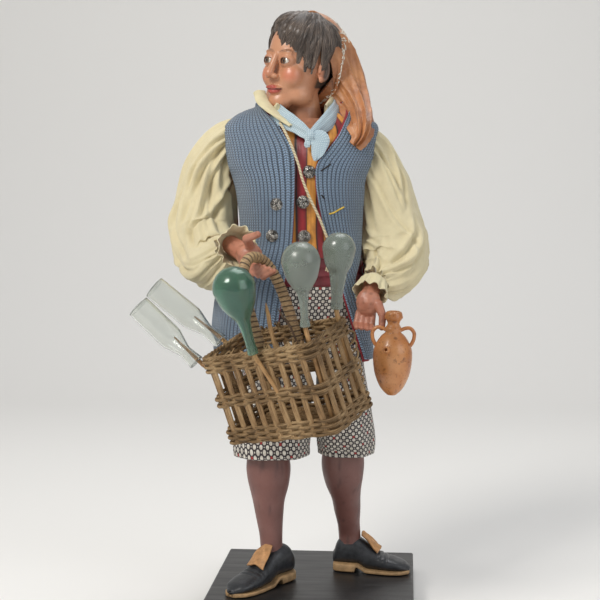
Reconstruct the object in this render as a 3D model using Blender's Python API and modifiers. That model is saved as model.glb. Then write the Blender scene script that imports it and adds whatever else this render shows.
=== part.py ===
"""Flask seller figurine: carved limbs, sewn clothes, wicker basket, glassware and a jug on a board."""

import math

import bmesh
import bpy
import numpy as np
from mathutils import Euler, Matrix, Vector

# All sizes below are in millimetres, and MM turns them into metres where a mesh is made
MM = 0.001
# Clearance between pieces that touch
GAP = 0.3
# Clearance cut before a soft piece is given its even skin, which takes back a little of it
SETTLED_GAP = 0.85

# Wider clearance inside the clothes, where nothing shows
INNER_GAP = 1.3
# Gap of the second cut, and most triangles in the cutters of the first and second
CLOSE_GAP = 0.03
CUTTER_TRIANGLES = 1000
FINE_TRIANGLES = 4000

# Base board
BOARD_SIDE = 130.0
BOARD_HEIGHT = 12.0
BOARD_EDGE = 0.8

# Heights of the clothes above the ground plane
HEM_Z = 95.0
CROTCH_Z = 140.0
BREECHES_TOP_Z = 205.0
SASH_HEIGHT = 18.0
WAISTCOAT_HEIGHT = 92.0
VEST_HEM_Z = 158.0

# Thicknesses of cloth
VEST_THICKNESS = 2.2
LINING_THICKNESS = 1.0
LINING_SHOWS = 1.6
HEM_THICKNESS = 1.6
HEM_DEPTH = 16.0
CORE_DEPTH = 3.0
WRAP_ROOM = 0.9

# Head: centre, half sizes of the skull and the way it faces
HEAD_AT = Vector((-10.0, -5.0, 345.5))
HEAD_TURN = -40.0
HEAD_ROLL = 7.0
SKULL = Vector((19.5, 24.5, 25.0))
HAIR_THICKNESS = 2.2
EYE_RADIUS = 4.1
LID_THICKNESS = 0.9
NECK_RADIUS = 12.5
NECK_BASE = Vector((-6.0, 0.0, 303.0))
KERCHIEF_ROOM = 12.8

# Joints of the arms
SHOULDER_RIGHT = Vector((-46.0, 2.0, 300.0))
ELBOW_RIGHT = Vector((-71.0, -8.0, 233.0))
WRIST_RIGHT = Vector((-46.0, -52.0, 231.0))
SHOULDER_LEFT = Vector((33.0, 2.0, 297.0))
ELBOW_LEFT = Vector((52.0, 1.0, 229.0))
WRIST_LEFT = Vector((38.0, -27.0, 206.0))
ARM_RADIUS = 6.5
WRIST_RADIUS = 6.0

# Legs and shoes
LEG_TOP_Z = 122.0
SHOE_RIGHT_HEEL = Vector((-15.9, -1.8, 0.0))
SHOE_RIGHT_TOE = Vector((-48.9, -50.0, 0.0))
SHOE_LEFT_HEEL = Vector((11.5, 20.0, 0.0))
SHOE_LEFT_TOE = Vector((63.0, 13.5, 0.0))
SOLE_THICKNESS = 1.8
HEEL_HEIGHT = 5.2
SHOE_HEIGHT = 25.0
SHOE_HALF_WIDTH = 9.6

# Basket: centre of its rim, its turn and its outer sizes
BASKET_AT = Vector((-18.6, -81.3, 178.4))
BASKET_TURN = (16.4, -10.1, -29.5)
BASKET_LENGTH = 81.0
BASKET_WIDTH = 47.5
BASKET_DEPTH = 56.5
BASKET_WALL = 3.6
BASKET_FLOOR = 2.4
BASKET_CORNER = 5.0
RIM_BAND = 9.0
MIDDLE_BAND = 5.4
BOTTOM_BAND = 9.0
STAKE_WIDTH = 4.2
STAKE_THICKNESS = 1.7
STAKES_ALONG = 9
STAKES_ACROSS = 5
WEAVE_DEPTH = 0.45
HANDLE_RADIUS = 3.3
HANDLE_WRAP = 0.35

# Glassware
GLASS_WALL = 0.7
STICK_RADIUS = 1.3
STICK_REACH = 0.42

# Jug
JUG_AT = Vector((50.6, -41.0, 139.5))
JUG_LEAN = (4.0, 1.5, 0.0)
JUG_RADIUS = 12.0
JUG_HEIGHT = 52.0
JUG_WALL = 1.6

# Twine
TWINE_RADIUS = 0.85

BUTTON_RADIUS = 4.0
BUTTON_THICKNESS = 3.4
VEST_BUTTON_RADIUS = 3.8

figure = bpy.data.collections.new("flask_seller_figurine")
cutters = bpy.data.collections.new("cutters")


def start_empty():
    for old in list(bpy.data.objects):
        bpy.data.objects.remove(old)
    bpy.context.scene.collection.children.link(figure)
    bpy.context.scene.collection.children.link(cutters)


def material(name, colour, roughness, metallic=0.0, alpha=1.0):
    made = bpy.data.materials.new(name)
    made.use_nodes = True
    shader = made.node_tree.nodes["Principled BSDF"]
    shader.inputs["Base Color"].default_value = (*colour, 1.0)
    shader.inputs["Roughness"].default_value = roughness
    shader.inputs["Metallic"].default_value = metallic
    shader.inputs["Alpha"].default_value = alpha
    return made


def put(name, mesh, look, collection=figure):
    piece = bpy.data.objects.new(name, mesh)
    collection.objects.link(piece)
    if look:
        mesh.materials.clear()
        mesh.materials.append(look)
    mesh.shade_smooth()
    mesh.set_sharp_from_angle(angle=math.radians(40))
    return piece


def mesh_of(bm, name):
    """A mesh in metres from a bmesh in millimetres, its faces pointing out."""
    bmesh.ops.recalc_face_normals(bm, faces=bm.faces)
    bmesh.ops.scale(bm, vec=(MM, MM, MM), verts=bm.verts)
    mesh = bpy.data.meshes.new(name)
    bm.to_mesh(mesh)
    bm.free()
    return mesh


def baked(piece):
    """The piece with its modifiers applied, so that it can be cut or copied."""
    graph = bpy.context.evaluated_depsgraph_get()
    graph.update()
    mesh = bpy.data.meshes.new_from_object(piece.evaluated_get(graph))
    piece.modifiers.clear()
    old = piece.data
    piece.data = mesh
    bpy.data.meshes.remove(old)
    return piece


def grown(piece, gap, triangles):
    """A cutter: the piece, simplified, with its surface moved out by the gap."""
    copy = put(piece.name + "_cutter", piece.data.copy(), None, cutters)
    copy.hide_render = True
    copy.display_type = "WIRE"
    thinned(copy, triangles)
    swell = copy.modifiers.new("gap", "DISPLACE")
    swell.strength = gap * MM
    swell.mid_level = 0.0
    return baked(copy)


def combine(piece, other, operation, solver="EXACT"):
    """One Boolean with another object, which is used up."""
    step = piece.modifiers.new(operation.lower(), "BOOLEAN")
    step.operation = operation
    step.solver = solver
    step.object = other
    baked(piece)
    spent = other.data
    bpy.data.objects.remove(other)
    bpy.data.meshes.remove(spent)
    return piece


def clear_of(piece, neighbours, gap=GAP):
    """Cuts the piece back so that it keeps the gap to each neighbour, an object or what makes a cutter.

    A grown cutter can cross itself in a fold, where the exact solver drops the piece. The second,
    closer cut takes off what such a fold leaves.
    """
    for neighbour in neighbours:
        if callable(neighbour):
            steps = [neighbour()]
        else:
            steps = [grown(neighbour, gap, CUTTER_TRIANGLES), grown(neighbour, CLOSE_GAP, FINE_TRIANGLES)]
        for cutter in steps:
            combine(piece, cutter, "DIFFERENCE", "MANIFOLD")
    return largest_body(piece)


def largest_body(piece):
    """Drops the crumbs that a cut leaves."""
    bm = bmesh.new()
    bm.from_mesh(piece.data)
    left = set(bm.verts)
    bodies = []
    while left:
        body = {left.pop()}
        edge_of_body = set(body)
        while edge_of_body:
            near = {e.other_vert(v) for v in edge_of_body for e in v.link_edges}
            edge_of_body = near - body
            body |= edge_of_body
        left -= body
        bodies.append(body)
    bodies.sort(key=len)
    for body in bodies[:-1]:
        bmesh.ops.delete(bm, geom=list(body), context="VERTS")
    bm.to_mesh(piece.data)
    bm.free()
    return piece


def spline(keys, count):
    """Smooth rows through the key rows, first and last included."""
    keys = np.array(keys, float)
    ends = np.vstack([2 * keys[0] - keys[1], keys, 2 * keys[-1] - keys[-2]])
    rows = []
    for t in np.linspace(0, len(keys) - 1, count):
        i = min(int(t), len(keys) - 2)
        f = t - i
        a, b, c, d = ends[i : i + 4]
        rows.append(
            0.5 * (2 * b + (c - a) * f + (2 * a - 5 * b + 4 * c - d) * f**2)
            + 0.5 * (3 * b - a - 3 * c + d) * f**3
        )
    return np.array(rows)


def oval(centre, side, up, a, b, count, square=2.0, fold=None):
    """A closed ring: an ellipse, squarer above a power of 2, with folds pushed out along it."""
    ring = []
    for k in range(count):
        t = 2 * math.pi * k / count
        x = math.copysign(abs(math.cos(t)) ** (2 / square), math.cos(t))
        y = math.copysign(abs(math.sin(t)) ** (2 / square), math.sin(t))
        push = fold(t) if fold else 0.0
        ring.append(centre + side * (x * (a + push)) + up * (y * (b + push)))
    return ring


def skin(bm, rings, capped=True):
    """Quads between rings of equal count, and a fan over each end."""
    rows = [[bm.verts.new(point) for point in ring] for ring in rings]
    count = len(rows[0])
    for low, high in zip(rows, rows[1:]):
        for k in range(count):
            n = (k + 1) % count
            bm.faces.new((low[k], low[n], high[n], high[k]))
    if capped:
        for row, ring in ((rows[0], rings[0]), (rows[-1], rings[-1])):
            hub = bm.verts.new(sum(ring, Vector()) / count)
            for k in range(count):
                bm.faces.new((row[k], row[(k + 1) % count], hub))
    return rows


def tube_rings(keys, rows, count, side, square=2.0, fold=None):
    """Rings across a smooth path, with rows of x, y, z and two half sizes."""
    path = spline(keys, rows)
    points = [Vector(row[:3]) for row in path]
    side = Vector(side)
    rings = []
    for i, row in enumerate(path):
        along = points[min(i + 1, rows - 1)] - points[max(i - 1, 0)]
        along.normalize()
        side = (side - along * side.dot(along)).normalized()
        up = along.cross(side)
        share = i / (rows - 1)
        ripple = (lambda t, s=share: fold(s, t)) if fold else None
        rings.append(
            oval(points[i], side, up, row[3], row[4], count, square, ripple)
        )
    return rings


def tube(bm, keys, rows, count, side=(1, 0, 0), square=2.0, fold=None):
    skin(bm, tube_rings(keys, rows, count, side, square, fold))


def ball(bm, centre, radii, turn=None, segments=16):
    place = Matrix.Translation(Vector(centre))
    if turn is not None:
        place = place @ turn.to_matrix().to_4x4()
    place = place @ Matrix.Diagonal((*radii, 1.0))
    bmesh.ops.create_uvsphere(
        bm, u_segments=segments, v_segments=segments // 2, radius=1.0, matrix=place
    )


def thinned(piece, triangles):
    """The piece with its flattest edges collapsed, down to about the given count."""
    faces = sum(len(face.vertices) - 2 for face in piece.data.polygons)
    if faces <= triangles:
        return piece
    thin = piece.modifiers.new("thin", "DECIMATE")
    thin.ratio = triangles / faces
    return largest_body(baked(piece))


def blob(name, bm, voxel, triangles, look, smooth=4):
    """One skin over overlapping shapes, thinned to about the given count."""
    return settled(put(name, mesh_of(bm, name), look), voxel, triangles, smooth)


def settled(piece, voxel, triangles, smooth=1):
    """The piece with one even, closed skin, thinned to about the given count."""
    merge = piece.modifiers.new("merge", "REMESH")
    merge.mode = "VOXEL"
    merge.voxel_size = voxel * MM
    soften = piece.modifiers.new("soften", "SMOOTH")
    soften.iterations = smooth
    soften.factor = 0.5
    baked(piece)
    return thinned(piece, triangles)


def fitted(piece, neighbours, voxel, triangles, gap=SETTLED_GAP):
    """Cuts a soft piece clear of its neighbours, gives it one even skin and trims what came too near."""
    rough = settled(clear_of(piece, neighbours, gap), voxel, triangles)
    return clear_of(rough, neighbours)


def solid(name, rings, look):
    bm = bmesh.new()
    skin(bm, rings)
    return put(name, mesh_of(bm, name), look)


def placed(local, origin, turn):
    """A point given beside a frame, in the figure's own frame."""
    return origin + turn @ Vector(local)


# Base board


def base_board():
    bm = bmesh.new()
    place = Matrix.Translation((0, 0, BOARD_HEIGHT / 2)) @ Matrix.Diagonal(
        (BOARD_SIDE, BOARD_SIDE, BOARD_HEIGHT, 1)
    )
    bmesh.ops.create_cube(bm, size=1.0, matrix=place)
    piece = put("base_board", mesh_of(bm, "base_board"), LOOKS["board"])
    edge = piece.modifiers.new("edge", "BEVEL")
    edge.width = BOARD_EDGE * MM
    edge.segments = 1
    return piece


# Body under the clothes

# Height, centre and half sizes of the clothed trunk
TRUNK = (
    (178.0, -8.5, -1.0, 40.0, 26.5),
    (205.0, -6.5, -2.0, 39.0, 27.0),
    (238.0, -7.5, -3.0, 36.0, 26.5),
    (265.0, -8.0, -3.5, 37.5, 27.0),
    (288.0, -8.5, -2.0, 42.0, 25.5),
    (303.0, -8.5, 0.0, 43.0, 21.0),
    (313.0, -8.0, 0.5, 33.0, 16.5),
    (319.0, -7.5, 0.5, 20.0, 13.5),
)


def trunk_row(z):
    """Centre and half sizes of the trunk at one height, on a smooth line."""
    rows = spline(TRUNK, 60)
    return [float(np.interp(z, rows[:, 0], rows[:, i])) for i in range(1, 5)]


def trunk_rings(low, high, rows, count, grow, square=2.3, fold=None):
    rings = []
    for i in range(rows):
        z = low + (high - low) * i / (rows - 1)
        cx, cy, a, b = trunk_row(z)
        ripple = (lambda t, s=i / (rows - 1): fold(s, t)) if fold else None
        rings.append(
            oval(
                Vector((cx, cy, z)),
                Vector((1, 0, 0)),
                Vector((0, 1, 0)),
                a + grow,
                b + grow,
                count,
                square,
                ripple,
            )
        )
    return rings


def tow_body():
    """Tow bound over wire: the trunk, both arms and both thighs."""
    bm = bmesh.new()
    skin(bm, trunk_rings(178.0, 311.0, 8, 20, -CORE_DEPTH))
    piece = put("tow_body", mesh_of(bm, "tow_body"), LOOKS["tow"])
    arms = (
        (SHOULDER_RIGHT, ELBOW_RIGHT, WRIST_RIGHT),
        (SHOULDER_LEFT, ELBOW_LEFT, WRIST_LEFT),
    )
    for shoulder, elbow, wrist in arms:
        start = shoulder + Vector((-math.copysign(14, shoulder.x), 0, -4))
        before = elbow.lerp(shoulder, 0.3)
        after = elbow.lerp(wrist, 0.3)
        keys = [(*p, ARM_RADIUS, ARM_RADIUS) for p in (start, shoulder, before, after)]
        keys.append((*wrist, WRIST_RADIUS, WRIST_RADIUS))
        arm = bmesh.new()
        tube(arm, keys, 9, 8)
        combine(piece, put("arm", mesh_of(arm, "arm"), None, cutters), "UNION")
    for side in (RIGHT_LEG, LEFT_LEG):
        top = Vector((side["hip"], -2.0, 186.0))
        low = Vector((side["peg"].x, side["peg"].y, LEG_TOP_Z + GAP))
        thigh = bmesh.new()
        tube(thigh, [(*top, 13, 13), (*top.lerp(low, 0.5), 12.5, 12.5), (*low, 12, 12)], 4, 10)
        combine(piece, put("thigh", mesh_of(thigh, "thigh"), None, cutters), "UNION")
    return piece


# Legs and shoes

# Height above the board's underside, centre, and half sizes across and along
RIGHT_LEG = {
    "name": "leg_right",
    "hip": -24.0,
    "peg": Vector((-29.0, -9.0, LEG_TOP_Z)),
    "shank": (
        (32.0, -26.4, -13.2, 7.3, 8.0),
        (38.0, -26.9, -13.6, 7.2, 7.8),
        (45.0, -27.3, -13.0, 7.6, 8.4),
        (55.0, -28.2, -11.8, 8.9, 10.0),
        (65.0, -28.9, -10.2, 10.4, 12.0),
        (76.0, -29.0, -9.0, 13.2, 13.8),
        (86.0, -29.2, -8.8, 14.4, 14.2),
        (96.0, -29.4, -9.4, 13.6, 13.6),
        (LEG_TOP_Z, -29.0, -9.0, 13.0, 13.0),
    ),
    "heel": SHOE_RIGHT_HEEL,
    "toe": SHOE_RIGHT_TOE,
}
LEFT_LEG = {
    "name": "leg_left",
    "hip": 14.0,
    "peg": Vector((19.5, 2.0, LEG_TOP_Z)),
    "shank": (
        (32.0, 22.6, 18.2, 7.3, 8.0),
        (38.0, 22.3, 17.8, 7.3, 7.8),
        (45.0, 21.8, 16.4, 7.5, 8.4),
        (55.0, 21.0, 13.6, 8.8, 10.0),
        (65.0, 20.2, 10.6, 9.8, 12.0),
        (76.0, 18.9, 7.6, 12.6, 13.6),
        (86.0, 18.4, 5.8, 14.0, 14.2),
        (96.0, 18.6, 4.0, 13.6, 13.8),
        (LEG_TOP_Z, 19.5, 2.0, 13.0, 13.0),
    ),
    "heel": SHOE_LEFT_HEEL,
    "toe": SHOE_LEFT_TOE,
}

# Share of the shoe's length from the heel, half width, height of the upper
SHOE_SHAPE = (
    (0.015, 0.50, 0.55),
    (0.06, 0.72, 0.80),
    (0.14, 0.84, 0.98),
    (0.26, 0.86, 1.00),
    (0.38, 0.82, 0.86),
    (0.52, 0.90, 0.66),
    (0.66, 1.00, 0.50),
    (0.80, 0.98, 0.40),
    (0.91, 0.78, 0.32),
    (0.985, 0.34, 0.22),
)


# Share of the shoe's length, height above the board and half width along its turned-down tongue
TONGUE = ((0.38, 26.5, 5.0), (0.47, 22.8, 7.2), (0.55, 18.9, 8.2), (0.62, 16.0, 8.6))


def shoe_lift(share):
    """Height of the sole's top above the board along the shoe."""
    heel = min(1.0, max(0.0, (0.46 - share) / 0.14))
    blend = heel * heel * (3 - 2 * heel)
    return GAP + SOLE_THICKNESS + (HEEL_HEIGHT - SOLE_THICKNESS) * blend


def shoe_rings(leg, count, outer=0.0, sole=False):
    """D-shaped sections across a shoe, from heel to toe, or its sole."""
    heel = leg["heel"] + Vector((0, 0, BOARD_HEIGHT))
    toe = leg["toe"] + Vector((0, 0, BOARD_HEIGHT))
    along = (toe - heel).normalized()
    across = along.cross(Vector((0, 0, 1))).normalized()
    rings = []
    for share, width, height in spline(SHOE_SHAPE, 16):
        half = SHOE_HALF_WIDTH * width + outer
        low = shoe_lift(share)
        high = SHOE_HEIGHT * height
        if sole:
            high = low + 0.6
            low = GAP if share < 0.30 else max(GAP, low - SOLE_THICKNESS)
        middle = heel.lerp(toe, share) + Vector((0, 0, (low + high) / 2))
        ring = oval(middle, across, Vector((0, 0, 1)), half, (high - low) / 2, count, 5.0 if sole else 2.6)
        rings.append(ring)
    return rings


def leg(side):
    """Carved shank and shoe in one, with the shoe's tongue turned down over it."""
    bm = bmesh.new()
    tube(bm, [(x, y, z, a, b) for z, x, y, a, b in side["shank"]], 20, 24)
    skin(bm, shoe_rings(side, 24))
    skin(bm, shoe_rings(side, 24, outer=1.0, sole=True))
    heel = side["heel"] + Vector((0, 0, BOARD_HEIGHT))
    toe = side["toe"] + Vector((0, 0, BOARD_HEIGHT))
    keys = [
        (*(heel.lerp(toe, share) + Vector((0, 0, height))), half, 1.2)
        for share, height, half in TONGUE
    ]
    across = (toe - heel).cross(Vector((0, 0, 1))).normalized()
    tube(bm, keys, 6, 12, across, 3.0)
    return blob(side["name"], bm, 0.7, 500, LOOKS["skin_leg"], 1)


# Breeches, sash and waistcoat


def cloth_fold(count, depth, sway=0.0, phase=0.0):
    """Folds that run along a garment and lean by the sway."""
    return lambda s, t: depth * math.sin(count * (t + sway * s) + phase)


def breeches_leg(side, hem_half, hem_depth, hem_at, top):
    hem = Vector((*hem_at, HEM_Z))
    knee = Vector((hem.x, hem.y, HEM_Z + 8))
    keys = [
        (*hem, hem_half, hem_depth),
        (*knee, hem_half + 0.6, hem_depth + 0.6),
        (*hem.lerp(top, 0.4), hem_half, hem_depth + 1.6),
        (*hem.lerp(top, 0.75), hem_half - 2.0, hem_depth + 3.0),
        (*top, hem_half - 3.0, hem_depth + 3.0),
    ]
    bm = bmesh.new()
    tube(bm, keys, 7, 24, (1, 0, 0), 2.2, cloth_fold(6, 0.6, 0.6, side))
    return put("breeches_leg", mesh_of(bm, "breeches_leg"), None, cutters)


def breeches(body, legs):
    """Printed knee breeches: the seat, both legs and their open hems."""
    top = BREECHES_TOP_Z - GAP
    bm = bmesh.new()
    rings = trunk_rings(CROTCH_Z + 14, top, 5, 24, -0.3, 2.3, cloth_fold(7, 0.4, 0.4))
    seat = Vector((-6.0, -2.0, CROTCH_Z))
    rings.insert(0, oval(seat, Vector((1, 0, 0)), Vector((0, 1, 0)), 34, 22, 24, 2.3))
    skin(bm, rings)
    piece = put("breeches", mesh_of(bm, "breeches"), LOOKS["breeches"])
    right = breeches_leg(0.3, 24.0, 19.0, (-27.0, -10.0), Vector((-24.0, -3.0, 168.0)))
    left = breeches_leg(1.1, 18.0, 19.0, (20.6, 2.0), Vector((16.0, -2.0, 168.0)))
    combine(piece, right, "UNION")
    combine(piece, left, "UNION")
    for hem_at, half, depth in (((-27.0, -10.0), 24.0, 19.0), ((20.6, 2.0), 18.0, 19.0)):
        bm = bmesh.new()
        low = Vector((*hem_at, HEM_Z - 4))
        high = Vector((*hem_at, HEM_Z + HEM_DEPTH))
        inner = (half - HEM_THICKNESS, depth - HEM_THICKNESS)
        tube(bm, [(*low, *inner), (*high, *inner)], 2, 20, (1, 0, 0), 2.2)
        combine(piece, put("hem", mesh_of(bm, "hem"), None, cutters), "DIFFERENCE")
    return fitted(piece, [body, *legs], 1.0, 900, INNER_GAP)


def wrap(name, low, high, rows, fold, look):
    """A band of cloth round the trunk, open at the top and below."""
    outer = trunk_rings(low, high, rows, 20, 0.0, 2.3, fold)
    inner = trunk_rings(low, high, rows, 20, WRAP_ROOM - CORE_DEPTH)
    bm = bmesh.new()
    made = skin(bm, [*outer, *reversed(inner)], capped=False)
    for k in range(20):
        n = (k + 1) % 20
        bm.faces.new((made[-1][k], made[-1][n], made[0][n], made[0][k]))
    return put(name, mesh_of(bm, name), look)


def waist_sash():
    low = BREECHES_TOP_Z
    fold = cloth_fold(8, 0.3)
    return wrap("waist_sash", low, low + SASH_HEIGHT - GAP, 3, fold, LOOKS["sash"])


def waistcoat(body, head):
    low = BREECHES_TOP_Z + SASH_HEIGHT
    piece = wrap("waistcoat", low, low + WAISTCOAT_HEIGHT, 7, None, LOOKS["waistcoat"])
    return fitted(piece, [body, head], 0.8, 900)


# Sleeves: centre line from the shoulder to the wrist band, with half sizes front to back and across

SLEEVE_RIGHT = (
    (-42, 2, 303, 13, 12),
    (-58, 2, 294, 16, 15),
    (-68, 0, 277, 18, 18),
    (-71, -2, 257, 19, 20.5),
    (-71, -6, 238, 22, 22),
    (-66, -16, 226, 20, 20),
    (-60, -30, 220, 17, 19),
    (-53, -41, 226, 12, 13),
    (-49.5, -47, 229.5, 9.0, 9.0),
)
SLEEVE_LEFT = (
    (26, 2, 300, 12, 11),
    (37, 2, 289, 14, 13.5),
    (44.5, 1, 271, 16, 16),
    (48.5, 1, 250, 18.5, 18.5),
    (51.5, -1, 232, 20.5, 21.5),
    (51, -9, 218, 19.5, 20),
    (46, -17, 211, 14.5, 15.5),
    (40.5, -23.5, 208, 9.6, 10),
)

SLEEVE_ROWS = 11
# Depth of the folds, and the room that an armhole leaves round them
SLEEVE_GATHER = 1.2
SLEEVE_CREASE = 1.0
ARMHOLE_ROOM = SLEEVE_GATHER + SLEEVE_CREASE + 0.9


def armhole(keys):
    """A cutter round a sleeve, with room for its folds."""
    bm = bmesh.new()
    rows = [(x, y, z, a + ARMHOLE_ROOM, b + ARMHOLE_ROOM) for x, y, z, a, b in keys]
    tube(bm, rows, SLEEVE_ROWS, 14, (0, 1, 0))
    return put("armhole", mesh_of(bm, "armhole"), None, cutters)


def armhole_right():
    return armhole(SLEEVE_RIGHT)


def armhole_left():
    return armhole(SLEEVE_LEFT)


# Knitted vest

# Room for the lining and both gaps under the vest, with slack for the lining's creases
VEST_EASE = VEST_THICKNESS + LINING_THICKNESS + 2 * GAP + 0.4

# Height, shift to the left, flare in width and depth, and the x of the right and left front edges
VEST = (
    (150.0, -5.6, 8.0, 0.3, -27.0, 37.0),
    (165.0, -5.6, 8.4, 0.5, -24.0, 33.0),
    (186.0, -6.2, 8.4, 0.5, -20.0, 26.0),
    (205.0, -6.0, 6.8, 0.3, -17.0, 20.0),
    (220.0, -3.0, 2.4, 0.0, -14.0, 15.0),
    (234.0, -0.3, 0.2, 0.0, -11.8, 10.5),
    (259.0, 0.0, 0.0, 0.0, -10.2, 5.0),
    (272.0, -0.4, 0.4, 0.0, -9.8, 3.4),
    (281.0, -0.6, 2.8, 0.0, -9.9, 4.0),
    (290.0, -0.8, 3.5, 0.0, -11.5, 10.5),
    (299.0, -1.0, 3.6, 0.0, -16.5, 16.5),
    (308.0, -1.4, 5.8, 0.0, -22.5, 20.5),
    (315.0, -1.2, 6.0, 0.0, -30.0, 23.0),
    (321.5, -0.8, 5.8, 0.0, -34.0, 20.0),
)
VEST_POWER = 2.5
VEST_ROWS = 11
VEST_COLUMNS = 24
VEST_FLARE_FOLDS = 5
VEST_FLARE = 1.8
VEST_CREASE = 0.35


def vest_row(keys):
    """The vest's section at one height: the trunk's own section with its ease and flare."""
    z, shift, wider, deeper, right, left = keys
    cx, cy, a, b = trunk_row(z)
    return z, cx + shift, cy, a + VEST_EASE + wider, b + VEST_EASE + deeper, right, left


def vest_point(row, t, off):
    """A point of the vest's outer surface, moved by the offset, t from the front edge around the back."""
    z, cx, cy, a, b, right, left = row
    flare = max(0.0, (205.0 - z) / 50.0)
    wave = VEST_FLARE * flare * math.sin(VEST_FLARE_FOLDS * t + 0.6) * (1 - math.cos(t)) / 2
    crease = VEST_CREASE * math.sin(9 * t + z / 17.0)
    a += off + wave + crease
    b += off + wave + crease
    x = math.copysign(abs(math.cos(t)) ** (2 / VEST_POWER), math.cos(t))
    y = math.copysign(abs(math.sin(t)) ** (2 / VEST_POWER), math.sin(t))
    return Vector((cx + a * x, cy + b * y, z))


def edge_angle(row, x):
    """The angle at which the front of the vest reaches the given x."""
    _, cx, _, a = row[:4]
    share = max(-0.98, min(0.98, (x - cx) / a))
    cosine = math.copysign(abs(share) ** (VEST_POWER / 2), share)
    return -math.acos(max(-1.0, min(1.0, cosine)))


def vest_shell(name, outer, inner, drop, look, rise=0.0):
    """An open-fronted garment between two offsets of the vest's surface, let down and raised at its ends."""
    hem = VEST_HEM_Z
    count = VEST_COLUMNS
    keys = [row for row in VEST if row[0] > hem + 1.0]
    line = spline(VEST, 90)
    start = [float(np.interp(hem, line[:, 0], line[:, i])) for i in range(len(VEST[0]))]
    sections = [vest_row(row) for row in spline([start, *keys], VEST_ROWS)]
    if drop:
        z, *rest = sections[0]
        sections.insert(0, (z - drop, *rest))
    if rise:
        z, *rest = sections[-1]
        sections.append((z + rise, *rest))
    bm = bmesh.new()
    grid = []
    for row in sections:
        left = edge_angle(row, row[6])
        right = edge_angle(row, row[5]) - 2 * math.pi
        angles = [left + (right + 4 * math.pi - left) * k / (count - 1) for k in range(count)]
        skins = [
            [bm.verts.new(vest_point(row, t, off)) for t in angles]
            for off in (outer, inner)
        ]
        grid.append(skins)
    for low, high in zip(grid, grid[1:]):
        for k in range(count - 1):
            for i in (0, 1):
                bm.faces.new((low[i][k], low[i][k + 1], high[i][k + 1]))
                bm.faces.new((low[i][k], high[i][k + 1], high[i][k]))
        for k in (0, count - 1):
            bm.faces.new((low[0][k], high[0][k], high[1][k], low[1][k]))
    for row in (grid[0], grid[-1]):
        for k in range(count - 1):
            bm.faces.new((row[0][k], row[0][k + 1], row[1][k + 1], row[1][k]))
    return put(name, mesh_of(bm, name), look)


def vest_space(depth=VEST_THICKNESS + LINING_THICKNESS + GAP):
    """A cutter as thick as the vest and its lining, or deeper."""
    return vest_shell("vest_space", SETTLED_GAP, -depth - SETTLED_GAP, LINING_SHOWS + GAP, None, GAP)


def trunk_space():
    """A cutter as large as the trunk with the vest on."""
    return solid("trunk_space", trunk_rings(150.0, 322.0, 9, 24, VEST_EASE + GAP, VEST_POWER), None)


def neck_space():
    """A cutter round the neck and the neckerchief on it."""
    bm = bmesh.new()
    reach = NECK_RADIUS + KERCHIEF_ROOM
    base = NECK_BASE + Vector((0, 0, -10))
    top = NECK_BASE + Vector((-1, 1, 31))
    tube(bm, [(*base, reach, reach), (*top, reach, reach)], 2, 20)
    return put("neck_space", mesh_of(bm, "neck_space"), None, cutters)


def vest_lining():
    outer = -VEST_THICKNESS - GAP * 1.5
    piece = vest_shell("vest_lining", outer, outer - LINING_THICKNESS, LINING_SHOWS, LOOKS["lining"])
    return clear_of(piece, [armhole_right, armhole_left])


def knitted_vest():
    piece = vest_shell("knitted_vest", 0.0, -VEST_THICKNESS, 0.0, LOOKS["knit"])
    return clear_of(piece, [armhole_right, armhole_left])


# Sleeves and cuffs


def sleeve_fold(lean, phase):
    """Deep folds that gather toward both ends of a puffed sleeve."""

    def push(s, t):
        ends = 0.5 + 0.5 * math.cos(2 * math.pi * s)
        gathers = SLEEVE_GATHER * (0.4 + 0.6 * ends) * math.sin(7 * t + lean * s * 6 + phase)
        creases = SLEEVE_CREASE * math.sin(3 * t + 9 * s + phase) * (1 - ends)
        return gathers + creases

    return push


def shirt_sleeve(name, keys, lean, phase, inside):
    bm = bmesh.new()
    tube(bm, keys, SLEEVE_ROWS, 18, (0, 1, 0), 2.0, sleeve_fold(lean, phase))
    piece = put(name, mesh_of(bm, name), LOOKS["shirt"])
    return clear_of(piece, inside, 2 * GAP)


def cuff_ruffle(name, start, end, tight, wide, waves, inside):
    """A gathered frill that flares from the wrist band."""
    way = (end - start).normalized()
    keys = (
        (*start, tight, tight),
        (*start.lerp(end, 0.3), tight - 0.8, tight - 0.8),
        (*start.lerp(end, 0.65), (tight + wide) / 2, (tight + wide) / 2),
        (*end, wide, wide),
    )
    bm = bmesh.new()
    tube(bm, keys, 5, 3 * waves, way.orthogonal(), 2.0, lambda s, t: 1.3 * s * math.sin(waves * t))
    piece = put(name, mesh_of(bm, name), LOOKS["shirt"])
    return fitted(piece, inside, 0.45, 280)


# Hands

# Palm, then each finger as a chain of points with a radius, in a hand's own frame:
# x along the palm toward the fingers, y across toward the thumb, z out of the back
FINGER_RADIUS = 2.35
THUMB_RADIUS = 2.7


def limb(bm, points, radii):
    """A rounded chain: a tapered rod between each two points, and a ball on each."""
    for p, q, r, s in zip(points, points[1:], radii, radii[1:]):
        way = q - p
        turn = way.to_track_quat("Z", "Y").to_matrix().to_4x4()
        place = Matrix.Translation((p + q) / 2) @ turn
        bmesh.ops.create_cone(
            bm, cap_ends=True, segments=12, radius1=r, radius2=s, depth=way.length, matrix=place
        )
    for p, r in zip(points, radii):
        ball(bm, p, (r, r, r), segments=12)


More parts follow.
